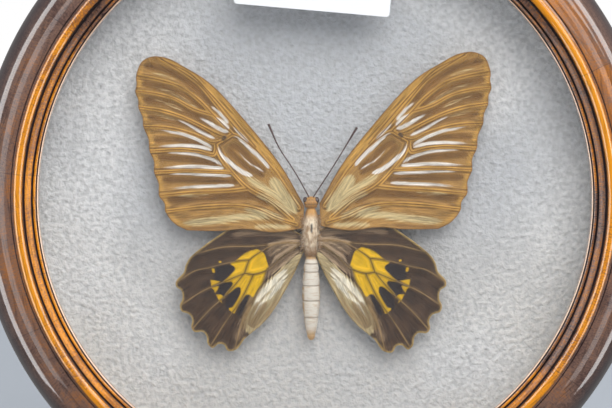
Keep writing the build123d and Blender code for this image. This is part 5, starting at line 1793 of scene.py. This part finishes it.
class AddStage(bpy.types.Operator):
    """Add the pale floor, the backdrop, the soft lights and the camera."""

    bl_idname = "case.add_stage"
    bl_label = "Stage"

    def execute(self, context):
        s = context.scene.case_stage
        self.add_floor(s)
        self.light_world(context, s)
        self.add_lamp("key_light", (0.3, -1.0, 0.80), (1.2, 1.2), s.key_power)
        for name, side in (("left_panel", -1), ("right_panel", 1)):
            panel = self.add_lamp(name, (side * 0.95, -0.31, 0.05), (0.86, 2.4), s.panel_power)
            panel.visible_diffuse = False
        self.add_camera(context, s)
        context.scene.view_settings.view_transform = "Standard"
        return {"FINISHED"}

    def add_floor(self, s):
        bm = bmesh.new()
        bmesh.ops.create_grid(bm, x_segments=1, y_segments=1, size=4.0)
        bmesh.ops.translate(bm, vec=(0, 0, CAD_BOX[0][2]), verts=bm.verts)
        mesh = bpy.data.meshes.new("floor")
        bm.to_mesh(mesh)
        bm.free()
        material, w = new_finish("Floor Paper", 0.9)
        clouds = w.noise(w.place(), 400.0, 2.0, 0.5)
        w.give(Base_Color=w.mix(w.between(clouds, 0.3, 0.7, 0.0, 0.4), s.floor, (0.46, 0.48, 0.52)))
        # Far from the case the floor fades into the backdrop, as a studio sweep does.
        distance = w.length_of(w.place())
        rays = w.add("LightPath").outputs
        seen = w.larger(rays["Is Camera Ray"], rays["Is Transmission Ray"])
        far = w.times(w.between(distance, SWEEP_START, SWEEP_END), seen)
        sweep = w.add("Emission", None, {"Color": tuple(s.backdrop), "Strength": 1.0}).outputs[0]
        w.replace_surface(far, sweep)
        mesh.materials.append(material)
        floor = bpy.data.objects.new("floor", mesh)
        bpy.context.scene.collection.objects.link(floor)
        floor.visible_glossy = False

    def light_world(self, context, s):
        """Even light from all round; the backdrop shows to the camera and in gloss and glass."""
        world = bpy.data.worlds.new("Backdrop")
        context.scene.world = world
        world.use_nodes = True
        w = Wiring(world.node_tree)
        rays = w.add("LightPath").outputs
        seen = w.larger(rays["Is Camera Ray"], rays["Is Transmission Ray"])
        # In gloss it is white overhead, half as bright behind, and the room is dim in front.
        axes = w.axes(w.add("TexCoord").outputs["Generated"])
        behind = w.between(axes["Y"], -0.25, 0.6, s.room_gloss, 0.5)
        above = w.between(axes["Z"], 0.35, 0.85)
        gloss = w.times(rays["Is Glossy Ray"], w.larger(behind, above))
        seen = w.larger(seen, gloss)
        even = w.add("Background", None, {"Color": (0.95, 0.97, 1.0), "Strength": s.fill}).outputs[0]
        shown = w.add("Background", None, {"Color": tuple(s.backdrop), "Strength": 1.0}).outputs[0]
        unlit = w.add("Background", None, {"Color": (0.0, 0.0, 0.0), "Strength": 0.0}).outputs[0]
        other = w.add("MixShader", None, {0: rays["Is Glossy Ray"], 1: even, 2: unlit}).outputs[0]
        both = w.add("MixShader", None, {0: seen, 1: other, 2: shown}).outputs[0]
        w.feed(world.node_tree.nodes["World Output"].inputs["Surface"], both)

    def add_lamp(self, name, towards, size, power):
        lamp = bpy.data.lights.new(name, "AREA")
        lamp.shape = "RECTANGLE"
        lamp.size, lamp.size_y = size
        lamp.energy = power
        holder = bpy.data.objects.new(name, lamp)
        direction = Vector(towards).normalized()
        holder.location = direction * LAMP_DISTANCE
        holder.rotation_euler = direction.to_track_quat("Z", "Y").to_euler()
        holder.visible_camera = False
        bpy.context.scene.collection.objects.link(holder)
        return holder

    def add_camera(self, context, s):
        """The camera stands nearly square on, a little to the right and above."""
        azimuth, elevation = s.camera_azimuth, s.camera_elevation
        ahead = Vector((-sin(azimuth) * cos(elevation), cos(azimuth) * cos(elevation), -sin(elevation)))
        right = Vector((cos(azimuth), sin(azimuth), 0))
        up = right.cross(ahead)
        lens = bpy.data.cameras.new("camera")
        lens.lens = s.focal_length
        lens.sensor_width = 36.0
        lens.clip_start = 0.01
        camera = bpy.data.objects.new("camera", lens)
        lip_y = FRONT_Y + context.scene.case_ring.lip_drop
        spot = Vector((0, lip_y, 0)) - ahead * s.camera_distance + right * s.camera_right + up * s.camera_up
        stand = Matrix((right, up, -ahead)).transposed().to_4x4()
        camera.matrix_world = Matrix.Translation(spot) @ stand
        bpy.context.scene.collection.objects.link(camera)
        context.scene.camera = camera


# ---------------------------------------------------------------- add-on
SETTINGS = {
    "case_ring": RingSettings,
    "case_boards": BoardSettings,
    "case_hardware": HardwareSettings,
    "case_specimen": SpecimenSettings,
    "case_stage": StageSettings,
}
STEPS = [AddRingBlocks, AddBoards, AddLabel, AddHardware, AddWings, AddBody, AddLimbs, AddStage]


class CasePanel(bpy.types.Panel):
    """Lists the steps that build the case, with their settings."""

    bl_idname = "VIEW3D_PT_butterfly_case"
    bl_label = "Butterfly Case"
    bl_space_type = "VIEW_3D"
    bl_region_type = "UI"
    bl_category = "Butterfly Case"

    def draw(self, context):
        for step in STEPS:
            self.layout.operator(step.bl_idname)
        for name, group in SETTINGS.items():
            box = self.layout.box()
            box.label(text=name.replace("case_", "").title())
            for setting in group.__annotations__:
                box.prop(getattr(context.scene, name), setting)


CLASSES = [*SETTINGS.values(), *STEPS, CasePanel]


def register():
    for item in CLASSES:
        bpy.utils.register_class(item)
    for name, group in SETTINGS.items():
        setattr(bpy.types.Scene, name, PointerProperty(type=group))


def unregister():
    for name in SETTINGS:
        delattr(bpy.types.Scene, name)
    for item in reversed(CLASSES):
        bpy.utils.unregister_class(item)


def main():
    register()
    bpy.ops.case.add_ring_blocks()
    bpy.ops.case.add_boards()
    bpy.ops.case.add_label()
    bpy.ops.case.add_hardware()
    bpy.ops.case.add_wings()
    bpy.ops.case.add_body()
    bpy.ops.case.add_limbs()
    bpy.ops.case.add_stage()
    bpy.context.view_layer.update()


if __name__ == "__main__":
    main()
